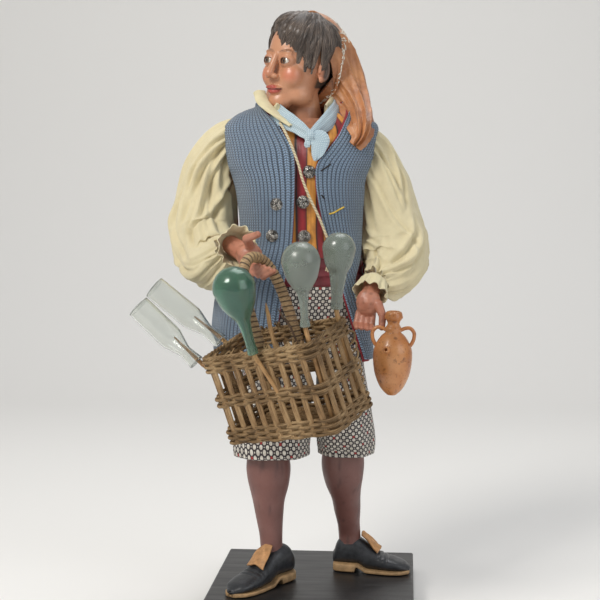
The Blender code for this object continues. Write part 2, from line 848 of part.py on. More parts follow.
def hand_right():
    """The fist round the basket's handle: thumb over it, fingers curled under it."""
    bm = bmesh.new()
    wrist = WRIST_RIGHT
    palm = Vector((-34.5, -63.0, 225.5))
    limb(bm, [wrist - (palm - wrist) * 0.1, wrist, palm], [WRIST_RADIUS, WRIST_RADIUS, 6.8])
    ball(bm, palm, (8.5, 6.5, 8.0))
    for k in range(4):
        base = palm + Vector((-1.0 + 3.2 * k, -1.5 - 2.2 * k, -4.0 - 1.0 * k))
        knuckle = base + Vector((2.0, -10.0, -4.6))
        tip = base + Vector((9.0, -17.0, -1.0))
        limb(bm, [base, knuckle, tip], [FINGER_RADIUS + 0.4, FINGER_RADIUS, FINGER_RADIUS - 0.3])
    thumb = palm + Vector((1.0, -2.0, 5.5))
    limb(
        bm,
        [thumb, thumb + Vector((-1.0, -12.0, 5.0)), thumb + Vector((6.5, -18.0, 7.5))],
        [THUMB_RADIUS + 0.6, THUMB_RADIUS, THUMB_RADIUS - 0.5],
    )
    return blob("hand_right", bm, 0.8, 400, LOOKS["skin"], 2)


def hand_left():
    """The open hand that hangs palm forward, its thumb through the jug's handle."""
    bm = bmesh.new()
    wrist = WRIST_LEFT
    palm = Vector((36.0, -35.0, 196.0))
    limb(bm, [wrist + (wrist - palm) * 0.15, wrist, palm], [WRIST_RADIUS, WRIST_RADIUS, 6.0])
    ball(bm, palm, (8.0, 5.0, 9.0))
    for k in range(4):
        base = palm + Vector((-6.0 + 3.0 * k, 1.0, -6.0 - 0.4 * k))
        knuckle = base + Vector((-1.5 + 0.3 * k, -2.0, -7.5))
        tip = knuckle + Vector((0.5, -6.5, -1.5))
        limb(bm, [base, knuckle, tip], [FINGER_RADIUS, FINGER_RADIUS - 0.1, FINGER_RADIUS - 0.4])
    thumb = palm + Vector((6.0, -2.0, -1.0))
    limb(
        bm,
        [thumb, thumb + Vector((3.0, -3.0, -7.0)), thumb + Vector((2.5, -4.5, -14.0))],
        [THUMB_RADIUS + 0.6, THUMB_RADIUS, THUMB_RADIUS - 0.5],
    )
    return blob("hand_left", bm, 0.8, 400, LOOKS["skin"], 2)


# Head


def on_skull(across, up, out):
    """A point above the scalp: degrees to the head's left of the brow, degrees up, and height."""
    a = math.radians(across)
    e = math.radians(up)
    way = Vector((math.sin(a) * math.cos(e), -math.cos(a) * math.cos(e), math.sin(e)))
    reach = Vector((SKULL.x + out, SKULL.y + out - 1.0, SKULL.z + out - 1.0))
    return Vector((way.x * reach.x, 5.5 + way.y * reach.y, 7.5 + way.z * reach.z))


def hair_locks():
    """Locks combed from the crown across the brow to the head's right, and down by both ears."""
    locks = []
    for k in range(8):
        start = 40.0 - 13.0 * k
        tip = -8.0 - 15.0 * k + 24.0
        drop = 24.0 - 1.2 * (k - 3) ** 2
        size = 1.0 + 0.12 * math.sin(2.3 * k)
        locks.append(((start, 74.0, 0.6), (tip + 14.0, 48.0, 2.4), (tip, drop, 1.6), (3.6, 3.5 * size, 1.4)))
    for side in (-1, 1):
        for k in range(4):
            across = side * (58.0 + 17.0 * k)
            low = -4.0 - 4.0 * k
            strand = ((across * 0.8, 58.0, 0.6), (across, 28.0, 1.4), (across + side * 4, low, 1.0))
            locks.append((*strand, (3.6, 3.4, 1.4)))
    return locks


def eye_at(side):
    """Centre of an eyeball in the head's frame."""
    return (side * 7.6, -16.6, 1.0)


def head_turn():
    return (
        Matrix.Rotation(math.radians(HEAD_TURN), 3, "Z")
        @ Matrix.Rotation(math.radians(HEAD_ROLL), 3, "Y")
    )


def head():
    """Modelled head, swept hair, neck and the bust plate that the body is bound to."""
    turn = head_turn()
    quat = turn.to_quaternion()

    def at(x, y, z):
        return placed((x, y, z), HEAD_AT, turn)

    base = bmesh.new()
    ball(base, at(0, 4, 6), SKULL, quat, 24)
    ball(base, at(0, -4.5, -12), (15.5, 16.5, 15.5), quat, 20)
    ball(base, at(0, -14.0, -24.0), (8.5, 7.5, 6.5), quat)
    for side in (-1, 1):
        ball(base, at(side * 8.5, -13.5, -8.0), (7.5, 7.0, 8.5), quat)
        ball(base, at(side * 9.5, -6.0, -19.5), (7.5, 9.5, 7.0), quat)
    jaw = at(0, 3.0, -16.0)
    throat = [NECK_BASE + Vector((0, 0, -4)), NECK_BASE, jaw]
    limb(base, throat, [NECK_RADIUS + 1, NECK_RADIUS + 0.6, NECK_RADIUS - 1])
    ball(base, NECK_BASE + Vector((0, 0, -4)), (24, 13, 7), None, 20)
    core = blob("head_core", base, 1.2, 20000, None, 10)
    bm = bmesh.new()
    bm.from_mesh(core.data)
    bmesh.ops.scale(bm, vec=(1 / MM, 1 / MM, 1 / MM), verts=bm.verts)
    bpy.data.objects.remove(core)
    for side in (-1, 1):
        ball(bm, at(side * 7.6, -19.2, 6.2), (6.6, 2.6, 2.2), quat)
        ball(bm, at(*eye_at(side)), [EYE_RADIUS + LID_THICKNESS] * 3, quat)
        ball(bm, at(side * 19.0, 2.5, -3.0), (2.4, 4.6, 7.0), quat)
        ball(bm, at(side * 2.8, -22.6, -8.8), (2.3, 2.7, 2.0), quat, 10)
    limb(bm, [at(0, -20.0, 4.5), at(0, -23.2, -3.0), at(0, -25.2, -7.4)], [2.2, 2.4, 3.0])
    ball(bm, at(0, -20.4, -15.6), (5.8, 2.8, 1.6), quat, 12)
    ball(bm, at(0, -20.0, -18.4), (4.9, 2.8, 1.8), quat, 12)
    hair = HAIR_THICKNESS
    ball(bm, at(0, 6.5, 9.5), (SKULL.x + hair, SKULL.y, SKULL.z - 2 + hair), quat, 24)
    for lock in hair_locks():
        points = [on_skull(*point) for point in lock[:3]]
        limb(bm, [placed(point, HEAD_AT, turn) for point in points], lock[3])
    piece = blob("head", bm, 0.8, 1100, LOOKS["skin"], 2)
    for side in (-1, 1):
        x, y, z = eye_at(side)
        slit = bmesh.new()
        ball(slit, at(x, y - 4.0, z), (EYE_RADIUS - 0.2, 5.0, 1.9), quat, 16)
        combine(piece, put("slit", mesh_of(slit, "slit"), None, cutters), "DIFFERENCE")
    return piece


def eye(name, side):
    turn = head_turn()
    bm = bmesh.new()
    ball(bm, placed(eye_at(side), HEAD_AT, turn), [EYE_RADIUS] * 3, None, 10)
    return put(name, mesh_of(bm, name), LOOKS["eye"])


# Cloth at the neck and on the head


def headscarf(inside):
    """A satin kerchief drawn back over the head and gathered at the side of the neck."""
    keys = (
        (-8.5, 0.0, 352.0, 21.0, 29.5),
        (-2.0, 6.0, 350.0, 23.5, 29.0),
        (6.0, 12.0, 344.0, 22.0, 26.0),
        (14.0, 13.0, 334.0, 18.5, 20.0),
        (21.0, 6.0, 323.0, 14.0, 14.0),
        (26.5, -5.0, 313.0, 11.0, 9.5),
        (29.5, -17.0, 304.5, 9.5, 7.0),
        (30.0, -23.5, 298.0, 5.8, 4.6),
        (26.6, -25.5, 292.5, 3.6, 3.0),
    )

    def pleats(s, t):
        return (0.25 + 0.9 * s) * math.sin(9 * t + 2.0 * s) * (1 - 0.5 * s)

    bm = bmesh.new()
    tube(bm, keys, 25, 54, (0.6, -0.8, 0.0), 2.0, pleats)
    piece = put("headscarf", mesh_of(bm, "headscarf"), LOOKS["scarf"])
    return fitted(piece, inside, 0.7, 900)


def shirt_collar(inside):
    keys = (
        (-37.0, -14.0, 325.0, 5.0, 1.2),
        (-30.0, -20.0, 320.0, 5.2, 1.4),
        (-22.0, -21.0, 315.0, 4.4, 1.5),
        (-26.0, -10.0, 320.5, 5.0, 1.6),
        (-24.5, 4.0, 324.0, 5.4, 1.6),
        (-12.0, 16.0, 326.0, 5.4, 1.6),
        (4.0, 12.0, 325.0, 5.2, 1.6),
        (11.0, 0.0, 321.5, 4.8, 1.6),
        (8.0, -12.0, 316.0, 3.0, 1.4),
    )
    bm = bmesh.new()
    tube(bm, keys[2:], 16, 12, (0, 0, 1), 2.6)
    piece = put("shirt_collar", mesh_of(bm, "shirt_collar"), LOOKS["shirt"])
    wing = bmesh.new()
    tube(wing, [keys[0], keys[1], (*keys[3][:3], 5.0, 1.6)], 6, 12, (0, 0, 1), 2.6)
    combine(piece, put("wing", mesh_of(wing, "wing"), None, cutters), "UNION")
    return fitted(piece, inside, 0.45, 280)


def neckerchief(inside):
    knot = Vector((-0.5, -29.5, 298.5))
    bm = bmesh.new()
    around = (
        (*knot, 3.0, 2.2),
        (-12.0, -27.0, 306.5, 5.0, 1.7),
        (-24.0, -18.0, 314.5, 6.0, 1.7),
        (-29.0, -3.0, 319.5, 6.0, 1.7),
        (-24.0, 12.0, 325.0, 5.2, 1.7),
        (-7.0, 20.5, 328.5, 5.2, 1.7),
        (10.0, 12.0, 325.0, 5.2, 1.7),
        (15.0, -1.0, 318.5, 6.0, 1.7),
        (12.0, -16.0, 311.0, 6.5, 1.7),
        (*knot, 3.4, 2.2),
    )
    tube(bm, around, 34, 10, (0, 0, 1), 2.4)
    ball(bm, knot, (4.2, 3.2, 4.0))
    tails = (
        (
            (*knot, 2.6, 1.6),
            (4.0, -30.5, 294.0, 4.6, 1.4),
            (7.5, -31.5, 288.5, 5.5, 1.2),
            (4.0, -32.5, 282.8, 0.9, 0.8),
        ),
        ((*knot, 2.6, 1.6), (-3.0, -31.5, 293.5, 3.2, 1.4), (-1.0, -32.5, 288.0, 2.6, 1.1)),
    )
    for tail in tails:
        tube(bm, tail, 8, 10, (1, 0, 0), 2.4)
    piece = blob("neckerchief", bm, 0.45, 3000, LOOKS["kerchief"], 1)
    return fitted(piece, inside, 0.45, 480)


# Buttons


def button(name, centre, radius, look, behind):
    """A filigree ball button, flattened at the back."""
    bm = bmesh.new()
    ball(bm, centre, (radius, BUTTON_THICKNESS / 2, radius), None, 8)
    return clear_of(put(name, mesh_of(bm, name), look), behind)


# Basket


def basket_turn():
    return Euler([math.radians(angle) for angle in BASKET_TURN]).to_matrix()


def in_basket(u, v, w):
    """A point of the basket's frame: along, across and up from the rim's centre."""
    return placed((u, v, w), BASKET_AT, basket_turn())


def rounded_outline(half_long, half_wide, corner, spans_long, spans_wide):
    """Points evenly spaced round a rectangle with round corners, two to a stake's pitch."""
    straight_long = 2 * (half_long - corner)
    straight_wide = 2 * (half_wide - corner)
    quarter = math.pi * corner / 2
    legs = (straight_long, quarter, straight_wide, quarter) * 2
    total = sum(legs)
    count = 2 * (2 * spans_long + 2 * spans_wide)
    points = []
    for k in range(count):
        run = total * k / count
        index = 0
        while run >= legs[index]:
            run -= legs[index]
            index += 1
        share = run / legs[index]
        corners = ((1, -1), (1, 1), (-1, 1), (-1, -1))
        sign = corners[index // 2]
        hub = (sign[0] * (half_long - corner), sign[1] * (half_wide - corner))
        start = (-math.pi / 2, 0.0, math.pi / 2, math.pi)[index // 2]
        if index % 2:
            angle = start + share * math.pi / 2
            points.append((hub[0] + corner * math.cos(angle), hub[1] + corner * math.sin(angle), angle))
        else:
            way = ((1, 0), (0, 1), (-1, 0), (0, -1))[index // 2]
            back = legs[index] - run
            side = (math.cos(start) * corner, math.sin(start) * corner)
            points.append((hub[0] + side[0] - way[0] * back, hub[1] + side[1] - way[1] * back, start))
    return points


def woven_band(low, high, rows):
    """A band of weave: ridges that pass in front of every second stake, row by row."""
    outline = rounded_outline(
        BASKET_LENGTH / 2, BASKET_WIDTH / 2, BASKET_CORNER, STAKES_ALONG, STAKES_ACROSS
    )
    bm = bmesh.new()
    loops = []
    for j in range(2 * rows + 1):
        w = low + (high - low) * j / (2 * rows)
        ring = []
        for k, (u, v, angle) in enumerate(outline):
            weave = math.sin(math.pi * k / 2 + math.pi * (j // 2)) if j % 2 else -1.0
            out = WEAVE_DEPTH * (weave - 1.0) / 2
            ring.append(in_basket(u + out * math.cos(angle), v + out * math.sin(angle), w))
        loops.append(ring)
    for w in (high, low):
        ring = []
        for u, v, angle in outline:
            inset = BASKET_WALL
            ring.append(in_basket(u - inset * math.cos(angle), v - inset * math.sin(angle), w))
        loops.append(ring)
    rows_made = skin(bm, loops, capped=False)
    count = len(outline)
    for k in range(count):
        n = (k + 1) % count
        bm.faces.new((rows_made[-1][k], rows_made[-1][n], rows_made[0][n], rows_made[0][k]))
    return bm


def stake_places():
    """Middle of each stake in the wall, and the side that it faces."""
    half_long = BASKET_LENGTH / 2 - BASKET_WALL / 2
    half_wide = BASKET_WIDTH / 2 - BASKET_WALL / 2
    places = []
    for k in range(STAKES_ALONG):
        u = (2 * half_long - BASKET_CORNER) * ((k + 0.5) / STAKES_ALONG - 0.5)
        places.append((u, -half_wide, 0))
        places.append((u, half_wide, 0))
    for k in range(STAKES_ACROSS):
        v = (2 * half_wide - BASKET_CORNER) * ((k + 0.5) / STAKES_ACROSS - 0.5)
        places.append((-half_long, v, 1))
        places.append((half_long, v, 1))
    return places


def basket():
    """Wicker basket: three woven bands on flat stakes, and a floor."""
    floor = -BASKET_DEPTH
    bands = (
        (-RIM_BAND, 0.0, 2),
        (-BASKET_DEPTH / 2 - MIDDLE_BAND / 2, -BASKET_DEPTH / 2 + MIDDLE_BAND / 2, 1),
        (floor, floor + BOTTOM_BAND, 2),
    )
    bm = bmesh.new()
    turn = basket_turn().to_4x4()
    for u, v, side in stake_places():
        across = (STAKE_WIDTH, STAKE_THICKNESS) if side == 0 else (STAKE_THICKNESS, STAKE_WIDTH)
        low = floor + 1.2
        high = -2.0
        middle = in_basket(u, v, (low + high) / 2)
        place = Matrix.Translation(middle) @ turn @ Matrix.Diagonal((*across, high - low, 1))
        bmesh.ops.create_cube(bm, size=1.0, matrix=place)
    piece = put("basket", mesh_of(bm, "basket"), LOOKS["wicker"])
    for low, high, rows in bands:
        band = put("band", mesh_of(woven_band(low, high, rows), "band"), None, cutters)
        combine(piece, band, "UNION")
    plate = bmesh.new()
    size = (BASKET_LENGTH - BASKET_WALL, BASKET_WIDTH - BASKET_WALL, BASKET_FLOOR, 1)
    middle = in_basket(0, 0, floor + 0.8 + BASKET_FLOOR / 2)
    bmesh.ops.create_cube(plate, size=1.0, matrix=Matrix.Translation(middle) @ turn @ Matrix.Diagonal(size))
    combine(piece, put("floor", mesh_of(plate, "floor"), None, cutters), "UNION")
    return largest_body(piece)


# Along, across and up in the basket's frame: from the front foot over to the back foot
HANDLE_ROUTE = (
    (2.0, -1.0, -20.0),
    (2.0, -1.0, 0.0),
    (0.5, -0.85, 22.0),
    (0.0, -0.62, 38.0),
    (0.0, -0.15, 47.0),
    (0.0, 0.45, 47.5),
    (0.0, 1.02, 40.0),
    (1.5, 1.22, 26.0),
    (4.0, 1.1, 10.0),
    (5.0, 1.0, -2.0),
    (5.0, 1.0, -20.0),
)
HANDLE_TURNS = 33


def handle_path():
    """The handle's middle line: its feet stand against the inside of both long walls."""
    reach = BASKET_WIDTH / 2 - BASKET_WALL - HANDLE_RADIUS - GAP
    keys = [in_basket(u, share * reach, w) for u, share, w in HANDLE_ROUTE]
    return [Vector(row) for row in spline(keys, HANDLE_TURNS)]


def basket_handle(inside):
    """Wrapped cane: a rod whose thickness steps with the wrapping."""
    rows = [
        (*p, HANDLE_RADIUS - HANDLE_WRAP * (i % 2), HANDLE_RADIUS - HANDLE_WRAP * (i % 2))
        for i, p in enumerate(handle_path())
    ]
    bm = bmesh.new()
    side = Vector(basket_turn().col[0])
    count = 8
    rings = []
    for i, row in enumerate(rows):
        here = Vector(row[:3])
        before = Vector(rows[max(i - 1, 0)][:3])
        after = Vector(rows[min(i + 1, len(rows) - 1)][:3])
        along = (after - before).normalized()
        side = (side - along * side.dot(along)).normalized()
        rings.append(oval(here, side, along.cross(side), row[3], row[4], count))
    skin(bm, rings)
    piece = put("basket_handle", mesh_of(bm, "basket_handle"), LOOKS["wicker"])
    return clear_of(piece, inside)


# Glassware on its sticks


def turned(name, profile, origin, way, segments, look):
    """A turned piece: radius and height pairs down the outer side, stood along a direction."""
    bm = bmesh.new()
    points = [bm.verts.new((r * MM, 0, h * MM)) for r, h in profile]
    for p, q in zip(points, points[1:]):
        bm.edges.new((p, q))
    mesh = bpy.data.meshes.new(name)
    bm.to_mesh(mesh)
    bm.free()
    piece = put(name, mesh, look)
    turn = piece.modifiers.new("turn", "SCREW")
    turn.steps = segments
    turn.render_steps = segments
    turn.use_merge_vertices = True
    turn.merge_threshold = 0.00001
    turn.use_smooth_shade = True
    piece.rotation_mode = "QUATERNION"
    piece.rotation_quaternion = Vector(way).to_track_quat("Z", "Y")
    piece.location = Vector(origin) * MM
    bpy.context.view_layer.update()
    place = piece.matrix_world.copy()
    baked(piece)
    piece.data.transform(place)
    piece.matrix_world = Matrix.Identity(4)
    return piece


def inset_profile(outer, wall):
    """The outer line, closed by the same line set in by the wall."""
    inner = []
    for r, h in reversed(outer[1:]):
        inner.append((max(0.6, r - wall), h))
    top_r, top_h = outer[0]
    inner.append((0.0, top_h - wall))
    return [*outer, *inner]


def flask_profile(bulb, length, neck, lip):
    """From the top of the bulb down to the lip of the mouth."""
    points = [(0.0, length)]
    for angle in (62, 30, -5):
        a = math.radians(angle)
        points.append((bulb * math.cos(a), length - bulb + bulb * math.sin(a)))
    points.append((bulb * 0.82, length * 0.59))
    points.append((bulb * 0.55, length * 0.475))
    points.append((neck * 1.35, length * 0.38))
    points.append((neck, length * 0.2))
    points.append((lip, 1.0))
    points.append((lip - 0.2, 0.0))
    return inset_profile(points, GLASS_WALL)


def bottle_profile(body, length, waist, lip):
    """A straight bottle with a round waist under a flared mouth."""
    points = [
        (0.0, length),
        (body * 0.92, length),
        (body, length - 1.5),
        (body, length * 0.46),
        (body * 0.86, length * 0.37),
        (waist, length * 0.22),
        (waist, length * 0.15),
        (lip, 0.8),
        (lip - 0.3, 0.0),
    ]
    return inset_profile(points, GLASS_WALL)


# Mouth in the basket's frame, way up in the figure's frame, length, half sizes and the stick's foot
FLASKS = (
    ("flask_green", (4.3, -27.7, 0.0), (-0.226, -0.284, 0.932), 52.8, (12.1, 2.9, 3.2), (8.5, -21.0, -30.0)),
    (
        "flask_grey_middle", (37.5, -17.8, 8.3), (-0.055, -0.158, 0.986),
        48.0, (10.8, 2.3, 3.0), (33.8, -15.0, -51.0),
    ),
    (
        "flask_grey_right", (37.5, 17.5, 6.3), (0.046, -0.17, 0.984),
        44.8, (9.5, 3.4, 3.6), (33.5, 15.5, -51.0),
    ),
)
BOTTLES = (
    (
        "bottle_clear_upper", (-48.8, 12.8, -1.6), (-0.784, 0.049, 0.619),
        53.5, (7.5, 4.1, 4.8), (-33.0, 14.0, -14.0),
    ),
    (
        "bottle_clear_lower", (-51.8, -11.4, -5.8), (-0.728, 0.041, 0.684),
        49.6, (7.5, 4.1, 4.8), (-33.0, -9.0, -17.0),
    ),
)

# Foot, place at the rim and tip in the basket's frame, half thickness and look of the rods with no flask
BARE_RODS = (
    ("stick_bare", ((11.0, -16.3, -52.8), (13.0, -17.5, 1.4), (17.3, -19.0, 25.5)), 1.2, "wood"),
    ("twig_dark", ((26.5, -12.0, -52.9), (25.6, -14.0, 2.9), (24.7, -19.7, 21.6)), 0.65, "bark"),
)


def glassware():
    for kind, outline in ((FLASKS, flask_profile), (BOTTLES, bottle_profile)):
        for name, mouth, way, length, (body, neck, lip), foot in kind:
            way = Vector(way).normalized()
            outer = outline(body, length, neck, lip)
            slack = neck - GLASS_WALL - STICK_RADIUS - GAP
            yield name, in_basket(*mouth), way, length, outer, in_basket(*foot), slack


def stick(name, foot, mouth, way, length, slack):
    """A peeled rod stuck in the wicker and up into a flask, whose neck rests on it by the slack."""
    high = Vector((0, 0, 1))
    rise = (high - way * way.z).normalized() * slack
    inner = mouth + way * (length * STICK_REACH) + rise
    keys = (
        (*foot, STICK_RADIUS, STICK_RADIUS),
        (*mouth.lerp(foot, 0.3), STICK_RADIUS, STICK_RADIUS),
        (*(mouth + rise), STICK_RADIUS, STICK_RADIUS),
        (*inner, 0.5, 0.5),
    )
    bm = bmesh.new()
    tube(bm, keys, 8, 6)
    return put(name, mesh_of(bm, name), LOOKS["wood"])


def bare_rod(name, places, radius, look):
    """A rod that stands in the basket, pointed at its upper end."""
    foot, rim, tip = [in_basket(*place) for place in places]
    near = rim.lerp(tip, 0.7)
    keys = [(*p, radius, radius) for p in (foot, rim, near)]
    bm = bmesh.new()
    tube(bm, [*keys, (*tip, radius * 0.3, radius * 0.3)], 7, 6)
    return put(name, mesh_of(bm, name), LOOKS[look])


# Jug


def jug(inside):
    """A turned clay amphora with two looped handles and a pierced nub."""
    r = JUG_RADIUS
    h = JUG_HEIGHT
    outer = [
        (0.0, 0.0),
        (r * 0.28, h * 0.01),
        (r * 0.62, h * 0.10),
        (r * 0.90, h * 0.26),
        (r, h * 0.44),
        (r * 0.94, h * 0.57),
        (r * 0.66, h * 0.69),
        (r * 0.40, h * 0.75),
        (r * 0.42, h * 0.80),
        (r * 0.30, h * 0.84),
        (r * 0.46, h * 0.92),
        (r * 0.40, h * 0.985),
        (r * 0.26, h),
    ]
    inner = [
        (r * 0.14, h * 0.98),
        (r * 0.14, h * 0.76),
        (r * 0.66 - JUG_WALL, h * 0.66),
        (r - JUG_WALL, h * 0.44),
        (r * 0.62 - JUG_WALL, h * 0.14),
        (0.0, h * 0.05),
    ]
    turn = Euler([math.radians(angle) for angle in JUG_LEAN]).to_matrix()
    profile = [*outer, *inner]
    profile.reverse()
    piece = turned("jug", profile, JUG_AT, turn @ Vector((0, 0, 1)), 14, LOOKS["clay"])
    for side in (-1, 1):
        keys = [
            (side * r * 0.86, 0.60),
            (side * r * 1.05, 0.68),
            (side * r * 0.98, 0.78),
            (side * r * 0.62, 0.80),
            (side * r * 0.36, 0.775),
        ]
        path = [(*placed((x, 0, share * h), JUG_AT, turn), 1.25, 1.5) for x, share in keys]
        bm = bmesh.new()
        tube(bm, path, 6, 6, turn @ Vector((0, 1, 0)))
        combine(piece, put("loop", mesh_of(bm, "loop"), None, cutters), "UNION")
    bm = bmesh.new()
    root = placed((-3, -r * 0.7, h * 0.56), JUG_AT, turn)
    tip = placed((-4, -r * 1.05, h * 0.58), JUG_AT, turn)
    limb(bm, [root, tip], [2.2, 1.7])
    nub = blob("nub", bm, 0.5, 80, LOOKS["clay"], 1)
    combine(piece, nub, "UNION")
    return clear_of(largest_body(piece), inside)


# Twine

TWINE_ROUTE = (
    (-20.0, -24.5, 307.5),
    (-16.5, -30.5, 302.0),
    (-12.0, -34.0, 293.0),
    (-7.5, -36.0, 281.5),
    (-4.5, -37.0, 271.0),
    (0.0, -37.5, 260.0),
    (5.5, -37.5, 248.5),
    (9.5, -37.0, 238.5),
    (12.5, -36.5, 230.5),
)


def twine(inside):
    """The cord that hangs from under the neckerchief, knotted before its frayed ends."""
    line = bpy.data.curves.new("twine", "CURVE")
    line.dimensions = "3D"
    line.bevel_depth = TWINE_RADIUS * MM
    line.bevel_resolution = 2
    line.use_fill_caps = True
    rows = spline(TWINE_ROUTE, 24)
    path = line.splines.new("POLY")
    path.points.add(len(rows) - 1)
    for point, row in zip(path.points, rows):
        point.co = (*(row * MM), 1.0)
    guide = bpy.data.objects.new("twine_line", line)
    figure.objects.link(guide)
    graph = bpy.context.evaluated_depsgraph_get()
    graph.update()
    mesh = bpy.data.meshes.new_from_object(guide.evaluated_get(graph))
    bpy.data.objects.remove(guide)
    bm = bmesh.new()
    bm.from_mesh(mesh)
    bmesh.ops.remove_doubles(bm, verts=bm.verts, dist=0.00001)
    bmesh.ops.recalc_face_normals(bm, faces=bm.faces)
    bm.to_mesh(mesh)
    bm.free()
    return clear_of(put("twine", mesh, LOOKS["twine"]), inside)


def twine_knot():
    end = Vector(TWINE_ROUTE[-1])
    way = (end - Vector(TWINE_ROUTE[-2])).normalized()
    knot = end + way * (2.4 + GAP)
    bm = bmesh.new()
    ball(bm, knot, (2.4, 2.2, 2.4), None, 12)
    strands = (
        (knot, knot + Vector((2.0, -1.0, -5.0)), knot + Vector((3.6, -1.2, -11.0))),
        (knot, knot + Vector((-3.2, -1.0, -5.5)), knot + Vector((-3.0, -1.6, -13.0))),
    )
    for strand in strands:
        limb(bm, list(strand), [TWINE_RADIUS, TWINE_RADIUS, TWINE_RADIUS * 0.8])
    return blob("twine_knot", bm, 0.4, 160, LOOKS["twine"], 1)


def looks():
    return {
        "board": material("black_board", (0.012, 0.012, 0.013), 0.45),
        "tow": material("tow", (0.50, 0.40, 0.26), 0.95),
        "skin_leg": material("painted_leg", (0.16, 0.085, 0.075), 0.55),
        "skin": material("painted_flesh", (0.60, 0.27, 0.15), 0.45),
        "eye": material("glass_eye", (0.75, 0.72, 0.66), 0.08),
        "scarf": material("copper_satin", (0.55, 0.20, 0.07), 0.38),
        "kerchief": material("blue_print", (0.42, 0.58, 0.66), 0.8),
        "shirt": material("cream_cotton", (0.70, 0.62, 0.42), 0.85),
        "waistcoat": material("striped_satin", (0.45, 0.05, 0.04), 0.42),
        "button": material("silver_filigree", (0.55, 0.53, 0.50), 0.3, 1.0),
        "sash": material("dark_red_cloth", (0.20, 0.02, 0.02), 0.8),
        "lining": material("red_lining", (0.38, 0.03, 0.05), 0.7),
        "knit": material("blue_wool", (0.13, 0.20, 0.33), 0.95),
        "breeches": material("printed_cotton", (0.30, 0.27, 0.27), 0.85),
        "wicker": material("wicker", (0.38, 0.24, 0.11), 0.7),
        "wood": material("peeled_stick", (0.48, 0.30, 0.13), 0.65),
        "bark": material("dark_twig", (0.14, 0.08, 0.04), 0.8),
        "green_glass": material("green_glass", (0.08, 0.30, 0.20), 0.05, 0.0, 0.6),
        "grey_glass": material("grey_green_glass", (0.18, 0.24, 0.19), 0.05, 0.0, 0.6),
        "clear_glass": material("clear_glass", (0.75, 0.78, 0.74), 0.05, 0.0, 0.4),
        "clay": material("glazed_clay", (0.50, 0.19, 0.06), 0.3),
        "twine": material("cream_twine", (0.66, 0.55, 0.36), 0.85),
    }


def build():
    base_board()
    right = leg(RIGHT_LEG)
    left = leg(LEFT_LEG)
    face = head()
    for name, side in (("eye_right", -1), ("eye_left", 1)):
        clear_of(face, [eye(name, side)], 0.2)
    fist = hand_right()
    palm = hand_left()
    body = fitted(tow_body(), [face, fist, palm, right, left], 1.2, 560, INNER_GAP)
    breeches(body, [right, left])
    sash = waist_sash()
    coat = waistcoat(body, face)
    arm_right = shirt_sleeve("shirt_sleeve_right", SLEEVE_RIGHT, 1.0, 0.4, [body, coat, sash, fist])
    arm_left = shirt_sleeve("shirt_sleeve_left", SLEEVE_LEFT, -1.0, 1.7, [body, coat, sash, palm])
    frill_right = cuff_ruffle(
        "cuff_ruffle_right", WRIST_RIGHT.lerp(ELBOW_RIGHT, 0.02), WRIST_RIGHT + Vector((4.0, -7.0, 0.0)),
        9.0, 12.5, 9, [fist, arm_right, body],
    )
    frill_left = cuff_ruffle(
        "cuff_ruffle_left", WRIST_LEFT.lerp(ELBOW_LEFT, 0.02), WRIST_LEFT + Vector((-1.0, -5.0, -5.0)),
        9.0, 10.5, 8, [palm, arm_left, body],
    )
    vest = [vest_lining(), knitted_vest()]
    collar = shirt_collar([face, body, coat, vest_space, *vest])
    kerchief = neckerchief([face, body, coat, vest_space, collar, *vest])
    headscarf([face, trunk_space, neck_space, *vest])
    behind = [coat, vest_space]
    for k, (x, z) in enumerate(((-1.1, 276.5), (-4.7, 257.8), (-4.1, 236.3))):
        cx, cy, a, b = trunk_row(z)
        button(f"waistcoat_button_{k + 1}", (x, cy - b - 1.2, z), BUTTON_RADIUS, LOOKS["button"], behind)
    for k, (x, z) in enumerate(((-21.2, 256.4), (-24.0, 236.9))):
        cx, cy, a, b = trunk_row(z)
        button(f"vest_button_{k + 1}", (x, cy - b - 3.6, z), VEST_BUTTON_RADIUS, LOOKS["button"], behind)
    wicker = basket()
    sticks = []
    for name, mouth, way, length, profile, foot, slack in glassware():
        kind = name.split("_", 1)[1]
        look = LOOKS[{"green": "green_glass", "clear": "clear_glass"}.get(kind.split("_")[0], "grey_glass")]
        turned(name, profile, mouth, way, 10, look)
        sticks.append(stick("stick_" + kind, foot, mouth, way, length, slack))
    for rod in BARE_RODS:
        sticks.append(bare_rod(*rod))
    clear_of(wicker, sticks)
    basket_handle([wicker, fist, *sticks])
    jug([palm])
    rope = twine([kerchief])
    clear_of(twine_knot(), [rope, *behind])


start_empty()
LOOKS = looks()
build()
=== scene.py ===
"""Flask seller figurine, dressed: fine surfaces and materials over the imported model."""

import math
import random

import bmesh
import bpy
import numpy as np
from mathutils import Euler, Matrix, Vector, noise


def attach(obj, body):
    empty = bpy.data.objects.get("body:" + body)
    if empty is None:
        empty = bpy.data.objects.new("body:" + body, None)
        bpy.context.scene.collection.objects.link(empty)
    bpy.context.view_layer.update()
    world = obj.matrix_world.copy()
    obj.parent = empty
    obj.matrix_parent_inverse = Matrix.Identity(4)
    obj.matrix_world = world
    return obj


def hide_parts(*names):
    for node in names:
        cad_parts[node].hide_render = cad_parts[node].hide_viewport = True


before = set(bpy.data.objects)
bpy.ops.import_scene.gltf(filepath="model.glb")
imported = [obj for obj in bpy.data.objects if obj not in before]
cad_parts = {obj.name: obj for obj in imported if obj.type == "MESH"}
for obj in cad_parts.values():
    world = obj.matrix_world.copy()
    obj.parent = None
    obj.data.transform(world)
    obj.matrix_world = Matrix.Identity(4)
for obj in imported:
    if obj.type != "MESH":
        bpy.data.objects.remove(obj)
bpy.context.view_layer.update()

# All sizes below are in millimetres, and MM turns them into metres where a mesh is made
MM = 0.001
